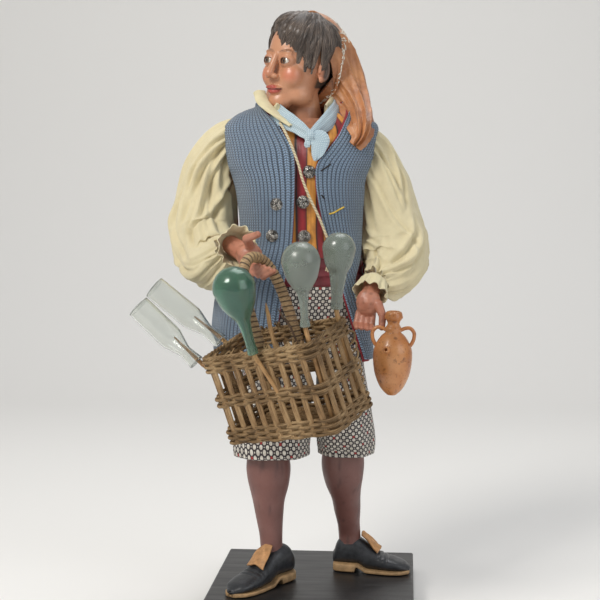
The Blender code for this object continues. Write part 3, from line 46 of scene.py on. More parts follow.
# Clearance between pieces that touch
GAP = 0.3
BOARD_HEIGHT = 12.0
# Heights of the clothes above the ground plane
HEM_Z = 95.0
CROTCH_Z = 140.0
BREECHES_TOP_Z = 205.0
SASH_HEIGHT = 18.0
WAISTCOAT_HEIGHT = 92.0
VEST_HEM_Z = 158.0
# Thicknesses of cloth
VEST_THICKNESS = 2.2
LINING_THICKNESS = 1.0
LINING_SHOWS = 1.6
HEM_DEPTH = 16.0
# Head: centre, half sizes of the skull and the way it faces
HEAD_AT = Vector((-10.0, -5.0, 345.5))
HEAD_TURN = -40.0
HEAD_ROLL = 7.0
SKULL = Vector((19.5, 24.5, 25.0))
EYE_RADIUS = 4.1
LID_THICKNESS = 0.9
NECK_RADIUS = 12.5
NECK_BASE = Vector((-6.0, 0.0, 303.0))
# Elbows and wrists
ELBOW_RIGHT = Vector((-71.0, -8.0, 233.0))
WRIST_RIGHT = Vector((-46.0, -52.0, 231.0))
ELBOW_LEFT = Vector((52.0, 1.0, 229.0))
WRIST_LEFT = Vector((38.0, -27.0, 206.0))
WRIST_RADIUS = 6.0
# Legs and shoes
LEG_TOP_Z = 122.0
SHOE_RIGHT_HEEL = Vector((-15.9, -1.8, 0.0))
SHOE_RIGHT_TOE = Vector((-48.9, -50.0, 0.0))
SHOE_LEFT_HEEL = Vector((11.5, 20.0, 0.0))
SHOE_LEFT_TOE = Vector((63.0, 13.5, 0.0))
SOLE_THICKNESS = 1.8
HEEL_HEIGHT = 5.2
SHOE_HEIGHT = 25.0
SHOE_HALF_WIDTH = 9.6
# Basket: centre of its rim, its turn and its outer sizes
BASKET_AT = Vector((-18.6, -81.3, 178.4))
BASKET_TURN = (16.4, -10.1, -29.5)
BASKET_LENGTH = 81.0
BASKET_WIDTH = 47.5
BASKET_DEPTH = 56.5
BASKET_WALL = 3.6
BASKET_CORNER = 5.0
RIM_BAND = 9.0
MIDDLE_BAND = 5.4
BOTTOM_BAND = 9.0
STAKE_WIDTH = 4.2
STAKES_ALONG = 9
STAKES_ACROSS = 5
HANDLE_RADIUS = 3.3
# Glassware
GLASS_WALL = 0.7
STICK_RADIUS = 1.3
STICK_REACH = 0.42
# Jug
JUG_AT = Vector((50.6, -41.0, 139.5))
JUG_LEAN = (4.0, 1.5, 0.0)
JUG_RADIUS = 12.0
JUG_HEIGHT = 52.0
# Twine
TWINE_RADIUS = 0.85
BUTTON_RADIUS = 4.0
BUTTON_THICKNESS = 3.4
VEST_BUTTON_RADIUS = 3.8
# Fingers, and the one source of random numbers
FINGER_RADIUS = 2.35
THUMB_RADIUS = 2.7
rng = random.Random(7)


# Camera first, at the photograph's viewing angle

camera = bpy.data.objects.new("camera", bpy.data.cameras.new("camera"))
bpy.context.scene.collection.objects.link(camera)
bpy.context.scene.camera = camera
camera.data.lens = 75.0
camera.data.sensor_width = 36.0
camera.location = (0.06025, -0.807, 0.250)
camera.rotation_euler = (math.radians(90.0 - 3.903), 0.0, math.radians(4.936))
camera.data.clip_start = 0.05
bpy.context.view_layer.update()


def sight(u, v):
    """Start and direction of the line of sight through a pixel of a 600 by 600 picture, in millimetres."""
    place = camera.matrix_world
    focal = 600.0 * camera.data.lens / camera.data.sensor_width
    way = place.to_3x3() @ Vector(((u - 300.0) / focal, (300.0 - v) / focal, -1.0))
    return place.translation / MM, way.normalized()


# Shapes


def spline(keys, count):
    """Smooth rows through the key rows, first and last included."""
    keys = np.array(keys, float)
    ends = np.vstack([2 * keys[0] - keys[1], keys, 2 * keys[-1] - keys[-2]])
    rows = []
    for t in np.linspace(0, len(keys) - 1, count):
        i = min(int(t), len(keys) - 2)
        f = t - i
        a, b, c, d = ends[i : i + 4]
        rows.append(
            0.5 * (2 * b + (c - a) * f + (2 * a - 5 * b + 4 * c - d) * f**2)
            + 0.5 * (3 * b - a - 3 * c + d) * f**3
        )
    return np.array(rows)


def smooth_line(keys, count):
    """Points along a smooth line through the key points."""
    return [Vector(row) for row in spline([tuple(key) for key in keys], count)]


def turns(count):
    """Angles of even steps round a circle."""
    return [2 * math.pi * k / count for k in range(count)]


def squared(t, power):
    """Cosine and sine of an angle round an ellipse, squarer above a power of 2."""
    return [math.copysign(abs(w) ** (2 / power), w) for w in (math.cos(t), math.sin(t))]


def round_spot(t, reach, along):
    """A place round a tube and along it, where noise has no seam."""
    return Vector((math.cos(t) * reach, math.sin(t) * reach, along))


def oval(centre, side, up, a, b, count, square=2.0, fold=None):
    """A closed ring: an ellipse, squarer above a power of 2, with folds pushed out along it."""
    ring = []
    for t in turns(count):
        x, y = squared(t, square)
        push = fold(t) if fold else 0.0
        ring.append(centre + side * (x * (a + push)) + up * (y * (b + push)))
    return ring


def tube_rings(keys, rows, count, side, square=2.0, fold=None):
    """Rings across a smooth path, with rows of x, y, z and two half sizes."""
    path = spline(keys, rows)
    points = [Vector(row[:3]) for row in path]
    side = Vector(side)
    rings = []
    for i, row in enumerate(path):
        along = points[min(i + 1, rows - 1)] - points[max(i - 1, 0)]
        along.normalize()
        side = (side - along * side.dot(along)).normalized()
        up = along.cross(side)
        share = i / (rows - 1)
        ripple = (lambda t, s=share: fold(s, t)) if fold else None
        rings.append(oval(points[i], side, up, row[3], row[4], count, square, ripple))
    return rings


def ball(bm, centre, radii, turn=None, segments=16):
    place = Matrix.Translation(Vector(centre))
    if turn is not None:
        place = place @ turn.to_matrix().to_4x4()
    place = place @ Matrix.Diagonal((*radii, 1.0))
    bmesh.ops.create_uvsphere(
        bm, u_segments=segments, v_segments=segments // 2, radius=1.0, matrix=place
    )


def limb(bm, points, radii):
    """A rounded chain: a tapered rod between each two points, and a ball on each."""
    for p, q, r, s in zip(points, points[1:], radii, radii[1:]):
        way = q - p
        turn = way.to_track_quat("Z", "Y").to_matrix().to_4x4()
        place = Matrix.Translation((p + q) / 2) @ turn
        bmesh.ops.create_cone(
            bm, cap_ends=True, segments=12, radius1=r, radius2=s, depth=way.length, matrix=place
        )
    for p, r in zip(points, radii):
        ball(bm, p, (r, r, r), segments=12)


def spun(side, up, angle, radius):
    """A step of one radius, turned between two ways at right angles."""
    return side * (math.cos(angle) * radius) + up * (math.sin(angle) * radius)


def placed(local, origin, turn):
    """A point given beside a frame, in the figure's own frame."""
    return origin + turn @ Vector(local)


def linked(name, data):
    """A new object in the scene."""
    made = bpy.data.objects.new(name, data)
    bpy.context.scene.collection.objects.link(made)
    return made


def piece(name, mesh, look, nodes=()):
    """A shown object that rides on the figure and stands for the named solids."""
    mesh.materials.clear()
    mesh.materials.append(look)
    made = linked(name, mesh)
    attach(made, "root")
    if nodes:
        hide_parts(*nodes)
    return made


def bm_mesh(bm, name):
    """A mesh in metres from a bmesh in millimetres."""
    bmesh.ops.recalc_face_normals(bm, faces=bm.faces)
    bmesh.ops.scale(bm, vec=(MM, MM, MM), verts=bm.verts)
    mesh = bpy.data.meshes.new(name)
    bm.to_mesh(mesh)
    bm.free()
    mesh.shade_smooth()
    return mesh


def applied(mesh, *modifiers):
    """The mesh after some modifiers, each given as its kind and settings."""
    holder = linked("holder", mesh)
    for kind, settings in modifiers:
        step = holder.modifiers.new(kind.lower(), kind)
        for key, value in settings.items():
            setattr(step, key, value)
    graph = bpy.context.evaluated_depsgraph_get()
    graph.update()
    made = bpy.data.meshes.new_from_object(holder.evaluated_get(graph))
    bpy.data.objects.remove(holder)
    made.shade_smooth()
    return made


def fused(bm, name, voxel, smooth):
    """One skin over overlapping shapes."""
    return applied(
        bm_mesh(bm, name),
        ("REMESH", {"mode": "VOXEL", "voxel_size": voxel * MM}),
        ("SMOOTH", {"iterations": smooth, "factor": 0.5}),
    )


def lengths(points):
    """Running length along each row or column of points."""
    steps = np.linalg.norm(np.diff(points, axis=0), axis=-1)
    return np.vstack([np.zeros(steps.shape[1:])[None], np.cumsum(steps, axis=0)])


def cloth_mesh(name, rows, closed=True, capped=False, scale=None):
    """Quads over rows of points, with UVs in millimetres across and along the rows."""
    grid = np.array([[tuple(p) for p in row] for row in rows], float)
    count_rows, count = grid.shape[:2]
    wrapped = np.concatenate([grid, grid[:, :1]], axis=1) if closed else grid
    across = lengths(wrapped.transpose(1, 0, 2)).transpose(1, 0)
    middle = across[:, -1:] / 2
    across = across - middle
    if scale == "even":
        share = np.linspace(-0.5, 0.5, wrapped.shape[1])[None]
        across = share * float(np.median(middle)) * 2 + 0 * across
    up = lengths(grid).mean(axis=1)
    faces = []
    uvs = []
    spans = count if closed else count - 1
    for i in range(count_rows - 1):
        for k in range(spans):
            n = (k + 1) % count
            faces.append((i * count + k, i * count + n, (i + 1) * count + n, (i + 1) * count + k))
            for row, col in ((i, k), (i, k + 1), (i + 1, k + 1), (i + 1, k)):
                uvs += [across[row, col], up[row]]
    verts = (grid.reshape(-1, 3) * MM).tolist()
    if capped:
        for row in (0, count_rows - 1):
            hub = len(verts)
            verts.append((grid[row].mean(axis=0) * MM).tolist())
            for k in range(count):
                n = (k + 1) % count
                corner = (row * count + k, row * count + n, hub)
                faces.append(corner if row == 0 else corner[::-1])
                uvs += [0.0, up[row]] * 3
    mesh = bpy.data.meshes.new(name)
    mesh.from_pydata(verts, [], faces)
    layer = mesh.uv_layers.new(name="cloth")
    layer.data.foreach_set("uv", uvs)
    mesh.shade_smooth()
    return mesh


def rod_rows(points, radii, count, side=(0.0, 0.0, 1.0), flat=1.0, twist=None):
    """Rings along a path of points, each of its own radius."""
    side = Vector(side)
    rows = []
    last = len(points) - 1
    for i, here in enumerate(points):
        along = (points[min(i + 1, last)] - points[max(i - 1, 0)]).normalized()
        side = (side - along * side.dot(along)).normalized()
        up = along.cross(side)
        r = radii[i] if hasattr(radii, "__len__") else radii
        ring = []
        for t in turns(count):
            grow = r * (1 + (twist(i, t) if twist else 0.0))
            ring.append(here + side * (math.cos(t) * grow) + up * (math.sin(t) * grow * flat))
        rows.append(ring)
    return rows


def joined(name, meshes):
    """Several meshes as one, UVs kept."""
    bm = bmesh.new()
    for mesh in meshes:
        bm.from_mesh(mesh)
    made = bpy.data.meshes.new(name)
    bm.to_mesh(made)
    bm.free()
    for mesh in meshes:
        bpy.data.meshes.remove(mesh)
    made.shade_smooth()
    return made


def rods(name, paths, count=8, capped=True):
    """One mesh of many rods, each a list of points and its radius or radii."""
    parts = []
    for points, radii in paths:
        parts.append(cloth_mesh(name, rod_rows(points, radii, count), True, capped))
    return joined(name, parts)


def hash_noise(p, size):
    """Smooth noise from -1 to 1 at a point in millimetres."""
    return noise.noise(Vector(p) / size)


def paint(mesh, colour_at):
    """Colour kept at each vertex, as brushed-on paint."""
    layer = mesh.color_attributes.new("paint", "FLOAT_COLOR", "POINT")
    flat = []
    for vertex in mesh.vertices:
        flat += [*colour_at(vertex.co / MM, vertex.normal), 1.0]
    layer.data.foreach_set("color", flat)


def dimmed(colour, share):
    return tuple(c * share for c in colour)


def mixed(a, b, share):
    share = min(1.0, max(0.0, share))
    return tuple(x + (y - x) * share for x, y in zip(a, b))


def smooth_step(low, high, value):
    share = min(1.0, max(0.0, (value - low) / (high - low)))
    return share * share * (3 - 2 * share)


# Materials


class Look:
    """A material and short ways to add nodes to it."""

    def __init__(self, name, colour=(0.5, 0.5, 0.5), roughness=0.5, **values):
        self.made = bpy.data.materials.new(name)
        self.made.use_nodes = True
        self.tree = self.made.node_tree
        self.shader = self.tree.nodes["Principled BSDF"]
        self.set(self.shader, {"Base Color": (*colour, 1.0), "Roughness": roughness})
        self.set(self.shader, {key.replace("_", " "): value for key, value in values.items()})

    def set(self, node, values):
        for key, value in values.items():
            if isinstance(value, bpy.types.NodeSocket):
                self.tree.links.new(value, node.inputs[key])
            else:
                node.inputs[key].default_value = value

    def node(self, kind, values=None, **settings):
        made = self.tree.nodes.new("ShaderNode" + kind)
        for key, value in settings.items():
            setattr(made, key, value)
        self.set(made, values or {})
        return made

    def math(self, operation, a, b=0.0, c=0.0):
        made = self.node("Math", {0: a, 1: b, 2: c}, operation=operation)
        return made.outputs[0]

    def add(self, a, b):
        return self.math("ADD", a, b)

    def times(self, a, b):
        return self.math("MULTIPLY", a, b)

    def wave(self, value, pitch):
        return self.math("SINE", self.times(value, 2 * math.pi / pitch))

    def cell(self, value, pitch, shift=0.0):
        """Place within a repeat, from 0 to 1."""
        return self.math("FRACT", self.add(self.math("DIVIDE", value, pitch), shift))

    def coords(self, kind="Object"):
        return self.node("TexCoord").outputs[kind]

    def axes(self, socket):
        split = self.node("SeparateXYZ", {0: socket})
        return split.outputs

    def noise(self, scale, detail=3.0, roughness=0.55, where=None, out="Fac"):
        values = {"Scale": scale, "Detail": detail, "Roughness": roughness}
        values["Vector"] = where or self.coords()
        return self.node("TexNoise", values).outputs[out]

    def stretched(self, socket, factors):
        return self.node("Mapping", {"Vector": socket, "Scale": factors}).outputs[0]

    def blend(self, share, a, b, kind="MIX"):
        made = self.node("Mix", data_type="RGBA", blend_type=kind)
        for key, value in ((0, share), (6, a), (7, b)):
            if isinstance(value, bpy.types.NodeSocket):
                self.tree.links.new(value, made.inputs[key])
            elif key == 0:
                made.inputs[key].default_value = value
            else:
                made.inputs[key].default_value = (*value, 1.0)
        return made.outputs[2]

    def ramp(self, share, stops):
        made = self.node("ValToRGB", {0: share})
        bar = made.color_ramp
        while len(bar.elements) < len(stops):
            bar.elements.new(0.5)
        for element, (place, colour) in zip(bar.elements, stops):
            element.position = place
            element.color = (*colour, 1.0) if hasattr(colour, "__len__") else (colour,) * 3 + (1.0,)
        return made.outputs[0]

    def fit(self, value, low, high, to_low=0.0, to_high=1.0, smooth=False):
        kind = "SMOOTHSTEP" if smooth else "LINEAR"
        values = {0: value, 1: low, 2: high, 3: to_low, 4: to_high}
        return self.node("MapRange", values, interpolation_type=kind).outputs[0]

    def colour(self, socket):
        self.tree.links.new(socket, self.shader.inputs["Base Color"])

    def rough(self, socket):
        self.tree.links.new(socket, self.shader.inputs["Roughness"])

    def bump(self, height, distance, strength=1.0, under=None):
        values = {"Height": height, "Distance": distance * MM, "Strength": strength}
        made = self.node("Bump", values)
        if under is not None:
            self.tree.links.new(under, made.inputs["Normal"])
        self.tree.links.new(made.outputs[0], self.shader.inputs["Normal"])
        return made.outputs[0]


def knit_look(name, colour, pitch, course, depth):
    """Stocking stitch in ribs, from UVs in millimetres, with painted shade in the gaps and painted
    highlight on the stitches.
    """
    look = Look(name, colour, 0.92, Sheen_Weight=0.35, Sheen_Roughness=0.5)
    x, y, _ = look.axes(look.coords("UV"))
    u = look.cell(x, pitch)
    side = look.math("ABSOLUTE", look.math("SUBTRACT", u, 0.5))
    lean = look.times(side, 1.5)
    v = look.cell(y, course, lean)
    across = look.math("SINE", look.times(u, math.pi))
    groove = look.math("POWER", across, 0.85)
    loop = look.math("SINE", look.times(v, math.pi))
    middle = look.fit(side, 0.0, 0.09, 0.35, 1.0, True)
    height = look.times(look.times(groove, look.math("POWER", loop, 0.7)), middle)
    fuzz = look.noise(900.0, 2.0)
    height = look.add(height, look.times(fuzz, 0.25))
    cloud = look.noise(45.0, 3.0)
    # Painted shade and highlight: the colour follows the stitches' bump height, near black in the gaps
    # between stitches and pale on their tops.
    dark = dimmed(colour, 0.13)
    light = tuple(min(1.0, c * 1.95 + 0.05) for c in colour)
    shade = look.blend(look.fit(height, 0.22, 1.0), dark, light)
    shade = look.blend(look.fit(cloud, 0.3, 0.7, 0.0, 0.35), shade, dimmed(colour, 0.75))
    look.colour(shade)
    look.bump(height, depth)
    return look.made


def cotton_look(name, colour, weave=0.35, stain=(0.62, 0.52, 0.30), sheen=0.2):
    look = Look(name, colour, 0.88, Sheen_Weight=sheen)
    x, y, _ = look.axes(look.coords("UV"))
    warp = look.wave(x, weave)
    weft = look.wave(y, weave)
    threads = look.add(warp, weft)
    slub = look.noise(260.0, 4.0, 0.6)
    cloud = look.noise(38.0, 4.0, 0.6)
    shade = look.blend(look.fit(cloud, 0.35, 0.75, 0.0, 0.55), colour, stain)
    shade = look.blend(look.fit(slub, 0.4, 0.7, 0.0, 0.25), shade, dimmed(colour, 0.8))
    look.colour(shade)
    creases = look.bump(look.noise(110.0, 3.0, 0.6), 0.9, 0.7)
    look.bump(threads, 0.05, 0.5, creases)
    return look.made


def satin_look(name, colour, dark, roughness=0.36):
    look = Look(name, colour, roughness, Sheen_Weight=0.3, Sheen_Roughness=0.3, Specular_IOR_Level=0.6)
    cloud = look.noise(60.0, 4.0, 0.6)
    shade = look.blend(look.fit(cloud, 0.35, 0.65), colour, dark)
    look.colour(shade)
    crumple = look.bump(look.noise(150.0, 4.0, 0.65), 1.1, 0.8)
    fine = look.wave(look.axes(look.coords("UV"))[1], 0.4)
    look.bump(fine, 0.03, 0.4, crumple)
    return look.made


# Width in millimetres of one gold and one crimson stripe together
STRIPE_PITCH = 9.4


def stripe_look():
    """Satin with upright stripes: gold, crimson and near-black lines."""
    look = Look("striped_satin", (0.4, 0.1, 0.03), 0.36, Sheen_Weight=0.3, Specular_IOR_Level=0.6)
    x = look.axes(look.coords("UV"))[0]
    waver = look.times(look.noise(30.0, 2.0), 1.2)
    u = look.cell(look.add(x, waver), STRIPE_PITCH)
    gold = (0.62, 0.24, 0.03)
    red = (0.20, 0.008, 0.012)
    night = (0.020, 0.006, 0.006)
    bright = (0.74, 0.34, 0.06)
    crimson = (0.30, 0.012, 0.018)
    stops = [(0.0, night), (0.04, red), (0.22, crimson), (0.36, red), (0.41, night)]
    stops += [(0.45, gold), (0.58, bright), (0.66, gold), (0.70, bright), (0.90, gold), (0.96, night)]
    shade = look.ramp(u, stops)
    cloud = look.noise(120.0, 4.0, 0.6)
    shade = look.blend(look.fit(cloud, 0.45, 0.75, 0.0, 0.5), shade, (0.10, 0.02, 0.01))
    look.colour(shade)
    crumple = look.bump(look.noise(120.0, 4.0, 0.65), 0.5, 0.4)
    fine = look.wave(x, 0.5)
    look.bump(fine, 0.04, 0.5, crumple)
    return look.made


def dots(look, x, y, wide, tall, radius, shift=0.0):
    """Share of the cloth inside a lattice of dots."""
    total = None
    for half in (0.0, 0.5):
        u = look.cell(x, wide, half + shift)
        v = look.cell(y, tall, half)
        dx = look.times(look.math("SUBTRACT", u, 0.5), wide)
        dy = look.times(look.math("SUBTRACT", v, 0.5), tall)
        square = look.add(look.times(dx, dx), look.times(dy, dy))
        near = look.fit(look.math("SQRT", square), radius - 0.12, radius + 0.12, 1.0, 0.0)
        total = near if total is None else look.math("MAXIMUM", total, near)
    return total


# Spacing of the breeches' printed dots in millimetres
DOT_ACROSS = 4.2
DOT_UP = 4.1


def print_look():
    """Dark cotton with an off-white diamond lattice of dots and a few red ones."""
    ground = (0.030, 0.022, 0.026)
    look = Look("printed_cotton", ground, 0.85, Sheen_Weight=0.15)
    coords = look.coords("UV")
    wander = look.noise(70.0, 2.0, 0.5, out="Color")
    moved = look.node("VectorMath", {0: coords, 1: wander}, operation="ADD").outputs[0]
    x, y, _ = look.axes(moved)
    large = dots(look, x, y, DOT_ACROSS, DOT_UP, 1.06)
    small = dots(look, x, y, DOT_ACROSS, DOT_UP, 0.30, 0.5)
    red = dots(look, x, y, 3 * DOT_ACROSS, 3 * DOT_UP, 0.80, 0.5)
    worn = look.noise(420.0, 3.0)
    ink = look.blend(look.fit(worn, 0.35, 0.65), (0.48, 0.44, 0.38), (0.70, 0.67, 0.60))
    shade = look.blend(look.math("MAXIMUM", small, large), ground, ink)
    shade = look.blend(red, shade, (0.30, 0.03, 0.03))
    look.colour(shade)
    creases = look.bump(look.noise(110.0, 3.0, 0.6), 0.5, 0.4)
    threads = look.wave(y, 0.45)
    look.bump(threads, 0.05, 0.4, creases)
    return look.made


def blue_print_look():
    """Pale blue cotton with a fine light check."""
    look = Look("blue_print", (0.36, 0.50, 0.58), 0.85, Sheen_Weight=0.2)
    x, y, _ = look.axes(look.coords("UV"))
    u = look.wave(x, 1.15)
    v = look.wave(y, 1.15)
    check = look.fit(look.times(u, v), -0.2, 0.6)
    cloud = look.noise(60.0, 3.0)
    base = look.blend(look.fit(cloud, 0.3, 0.7), (0.30, 0.42, 0.49), (0.46, 0.58, 0.62))
    lines = look.fit(look.math("MAXIMUM", u, v), 0.80, 0.97)
    shade = look.blend(look.times(check, 0.65), base, (0.72, 0.77, 0.75))
    look.colour(look.blend(look.times(lines, 0.7), shade, (0.12, 0.22, 0.34)))
    look.bump(look.noise(240.0, 4.0, 0.6), 0.3, 0.4)
    return look.made


def painted_look(name, roughness, coat=0.25, grain=0.25):
    """Paint that follows the colours kept at the vertices, brushed and a little worn."""
    look = Look(name, (0.5, 0.3, 0.2), roughness, Coat_Weight=coat, Coat_Roughness=0.28)
    kept = look.node("Attribute", attribute_name="paint").outputs["Color"]
    mottle = look.noise(95.0, 5.0, 0.65)
    speck = look.noise(620.0, 3.0, 0.6)
    shade = look.blend(look.fit(mottle, 0.35, 0.7, 0.0, 0.30), kept, (0.80, 0.62, 0.50), "MULTIPLY")
    shade = look.blend(look.fit(speck, 0.55, 0.75, 0.0, 0.22), shade, (0.55, 0.42, 0.36), "MULTIPLY")
    look.colour(shade)
    look.rough(look.fit(mottle, 0.3, 0.7, roughness - 0.08, roughness + 0.12))
    look.bump(look.noise(330.0, 4.0, 0.6), grain, 0.35)
    return look.made


def hair_look():
    look = Look("painted_hair", (0.10, 0.075, 0.06), 0.42, Coat_Weight=0.35, Coat_Roughness=0.25)
    place = look.stretched(look.coords("UV"), (3.2, 0.10, 1.0))
    strands = look.noise(1.0, 4.0, 0.7, place)
    cloud = look.noise(120.0, 3.0)
    # Streaks of hair colour keyed to the same strands as the bump: the darkest stop is painted shade in the
    # grooves, the palest a painted highlight on the ridges.
    stops = [(0.36, (0.010, 0.006, 0.004)), (0.50, (0.075, 0.050, 0.036)), (0.64, (0.34, 0.26, 0.20))]
    shade = look.ramp(strands, stops)
    shade = look.blend(look.fit(cloud, 0.42, 0.62, 0.0, 0.75), shade, (0.030, 0.019, 0.013))
    look.colour(shade)
    look.bump(strands, 0.8, 1.0)
    return look.made


def eye_look():
    look = Look("glass_eye", (0.8, 0.78, 0.72), 0.06, Coat_Weight=1.0, Coat_Roughness=0.02)
    kept = look.node("Attribute", attribute_name="paint").outputs["Color"]
    look.colour(kept)
    return look.made


def wicker_look(name, dark, mid, pale):
    look = Look(name, mid, 0.62, Specular_IOR_Level=0.35)
    place = look.stretched(look.coords("UV"), (1.6, 0.05, 1.0))
    fibre = look.noise(1.6, 4.0, 0.65, place)
    cloud = look.noise(55.0, 4.0, 0.6)
    speck = look.noise(500.0, 3.0)
    tone = look.add(look.times(fibre, 0.6), look.times(cloud, 0.4))
    shade = look.ramp(tone, [(0.36, dark), (0.50, mid), (0.64, pale)])
    shade = look.blend(look.fit(speck, 0.6, 0.75, 0.0, 0.5), shade, dark)
    look.colour(shade)
    look.bump(fibre, 0.25, 0.6)
    return look.made


def glass_look(name, colour, through, clear, hazy):
    """Old blown glass, uneven and dulled in clouds."""
    look = Look(name, colour, clear, IOR=1.48, Transmission_Weight=through, Specular_IOR_Level=0.6)
    haze = look.noise(40.0, 4.0, 0.6)
    dust = look.fit(haze, 0.40, 0.75, 0.0, 0.35)
    look.colour(look.blend(dust, colour, tuple(0.6 * c + 0.25 for c in colour)))
    look.rough(look.fit(haze, 0.35, 0.75, clear, hazy))
    look.bump(look.noise(28.0, 2.0), 0.35, 0.25)
    return look.made


def clay_look():
    look = Look("glazed_clay", (0.50, 0.19, 0.06), 0.32, Coat_Weight=0.35, Coat_Roughness=0.15)
    cloud = look.noise(48.0, 4.0, 0.6)
    speck = look.noise(420.0, 3.0, 0.6)
    freckle = look.noise(170.0, 2.0, 0.5)
    stops = [(0.35, (0.33, 0.105, 0.030)), (0.5, (0.50, 0.19, 0.055)), (0.66, (0.60, 0.27, 0.10))]
    shade = look.ramp(cloud, stops)
    shade = look.blend(look.fit(speck, 0.58, 0.70, 0.0, 0.6), shade, (0.16, 0.05, 0.02))
    shade = look.blend(look.fit(freckle, 0.64, 0.72, 0.0, 0.6), shade, (0.10, 0.035, 0.015))
    look.colour(shade)
    look.rough(look.fit(speck, 0.3, 0.7, 0.24, 0.48))
    look.bump(look.noise(210.0, 4.0, 0.6), 0.25, 0.4)
    return look.made


def board_look():
    look = Look("black_board", (0.012, 0.012, 0.013), 0.42, Coat_Weight=0.15, Coat_Roughness=0.35)
    grain = look.noise(22.0, 5.0, 0.65, look.stretched(look.coords(), (1.0, 9.0, 9.0)))
    dust = look.noise(420.0, 3.0)
    shade = look.blend(look.fit(grain, 0.4, 0.7), (0.008, 0.008, 0.009), (0.024, 0.023, 0.024))
    shade = look.blend(look.fit(dust, 0.66, 0.76, 0.0, 0.35), shade, (0.12, 0.115, 0.11))
    look.colour(shade)
    look.rough(look.fit(grain, 0.3, 0.7, 0.34, 0.55))
    look.bump(grain, 0.12, 0.35)
    return look.made


def twine_look(name, colour, pitch=2.2):
    look = Look(name, colour, 0.85, Sheen_Weight=0.2)
    x, y, _ = look.axes(look.coords("UV"))
    turn = look.add(look.math("DIVIDE", y, pitch), look.math("DIVIDE", x, 2.6))
    lay = look.math("ABSOLUTE", look.math("SINE", look.times(turn, math.pi)))
    fibre = look.noise(800.0, 3.0)
    height = look.add(lay, look.times(fibre, 0.3))
    # Painted shade: the colour follows the lay's height, darker in the grooves between the strands.
    look.colour(look.blend(look.fit(height, 0.1, 0.9), dimmed(colour, 0.45), colour))
    look.bump(height, 0.35, 0.9)
    return look.made


def silver_look():
    look = Look("silver_filigree", (0.62, 0.60, 0.57), 0.26, Metallic=1.0)
    tarnish = look.noise(480.0, 4.0, 0.6)
    look.colour(look.blend(look.fit(tarnish, 0.38, 0.60), (0.66, 0.64, 0.60), (0.09, 0.08, 0.07)))
    look.bump(tarnish, 0.1, 0.4)
    return look.made


def plain_look(name, colour, roughness, scale=300.0, depth=0.2, spread=0.35, **values):
    """A colour with uneven wear, for leather, thread and wood."""
    look = Look(name, colour, roughness, **values)
    cloud = look.noise(scale, 4.0, 0.62)
    low = dimmed(colour, 1 - spread)
    high = tuple(min(1.0, c * (1 + spread)) for c in colour)
    look.colour(look.blend(look.fit(cloud, 0.3, 0.7), low, high))
    look.bump(look.noise(scale * 1.7, 4.0, 0.6), depth, 0.4)
    return look.made


def body_look():
    """Tow under the clothes, and skin paint where the throat opens above them."""
    look = Look("stuffed_body", (0.40, 0.165, 0.085), 0.6)
    height = look.axes(look.coords())[2]
    straw = look.noise(300.0, 4.0, 0.6)
    tow = look.blend(look.fit(straw, 0.3, 0.7), (0.30, 0.22, 0.12), (0.50, 0.40, 0.24))
    skin_paint = look.blend(look.fit(straw, 0.3, 0.7), (0.33, 0.13, 0.068), (0.44, 0.19, 0.10))
    painted = look.fit(height, THROAT_PAINT_Z * MM, (THROAT_PAINT_Z + 1) * MM)
    look.colour(look.blend(painted, tow, skin_paint))
    look.bump(straw, 0.2, 0.4)
    return look.made


# Height above which the stuffed body is painted as the throat's skin
THROAT_PAINT_Z = 292.0

LOOKS = {
    "board": board_look(),
    "body": body_look(),
    "flesh": painted_look("painted_flesh", 0.42, 0.3),
    "hand": painted_look("painted_hand", 0.48, 0.2),
    "leg": painted_look("painted_leg", 0.50, 0.15, 0.3),
    "hair": hair_look(),
    "eye": eye_look(),
    "scarf": satin_look("copper_satin", (0.56, 0.25, 0.10), (0.30, 0.105, 0.038)),
    "kerchief": blue_print_look(),
    "shirt": cotton_look("cream_cotton", (0.70, 0.62, 0.40)),
    "collar": cotton_look("cream_collar", (0.72, 0.65, 0.42)),
    "waistcoat": stripe_look(),
    "button": silver_look(),
    "sash": satin_look("dark_red_cloth", (0.17, 0.012, 0.020), (0.07, 0.006, 0.010), 0.6),
    "lining": cotton_look("red_lining", (0.30, 0.018, 0.030), 0.4, (0.16, 0.010, 0.016)),
    "knit": knit_look("blue_wool", (0.150, 0.225, 0.325), 2.4, 1.7, 1.1),
    "breeches": print_look(),
    "wicker": wicker_look("wicker", (0.032, 0.016, 0.006), (0.185, 0.110, 0.046), (0.46, 0.32, 0.17)),
    "cane": wicker_look("pale_cane", (0.075, 0.040, 0.016), (0.27, 0.160, 0.070), (0.46, 0.32, 0.17)),
    "wood": wicker_look("peeled_stick", (0.16, 0.075, 0.028), (0.42, 0.24, 0.10), (0.58, 0.38, 0.19)),
    "bark": plain_look("dark_twig", (0.085, 0.050, 0.028), 0.8),
    "green_glass": glass_look("green_glass", (0.30, 0.54, 0.43), 0.90, 0.14, 0.28),
    "grey_glass": glass_look("grey_green_glass", (0.44, 0.50, 0.44), 0.74, 0.20, 0.36),
    "clear_glass": glass_look("clear_glass", (0.93, 0.95, 0.92), 0.96, 0.05, 0.20),
    "clay": clay_look(),
    "twine": twine_look("cream_twine", (0.66, 0.56, 0.36)),
    "shoe": plain_look("charcoal_leather", (0.028, 0.030, 0.034), 0.42, 260.0, 0.3, 0.5, Coat_Weight=0.15),
    "tan": plain_look("tan_leather", (0.46, 0.24, 0.10), 0.6, 320.0, 0.3, 0.3),
    "sole": plain_look("sole_leather", (0.40, 0.25, 0.12), 0.65, 240.0, 0.2, 0.3),
    "thread": plain_look("dark_thread", (0.02, 0.016, 0.016), 0.8, 700.0, 0.1),
    "gold_thread": plain_look("yellow_thread", (0.62, 0.42, 0.06), 0.7, 700.0, 0.1),
    "white_thread": plain_look("white_thread", (0.75, 0.70, 0.60), 0.7, 700.0, 0.1),
}

for node, look in (("base_board", "board"), ("tow_body", "body")):
    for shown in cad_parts[node].material_slots:
        shown.material = LOOKS[look]


# Legs and shoes

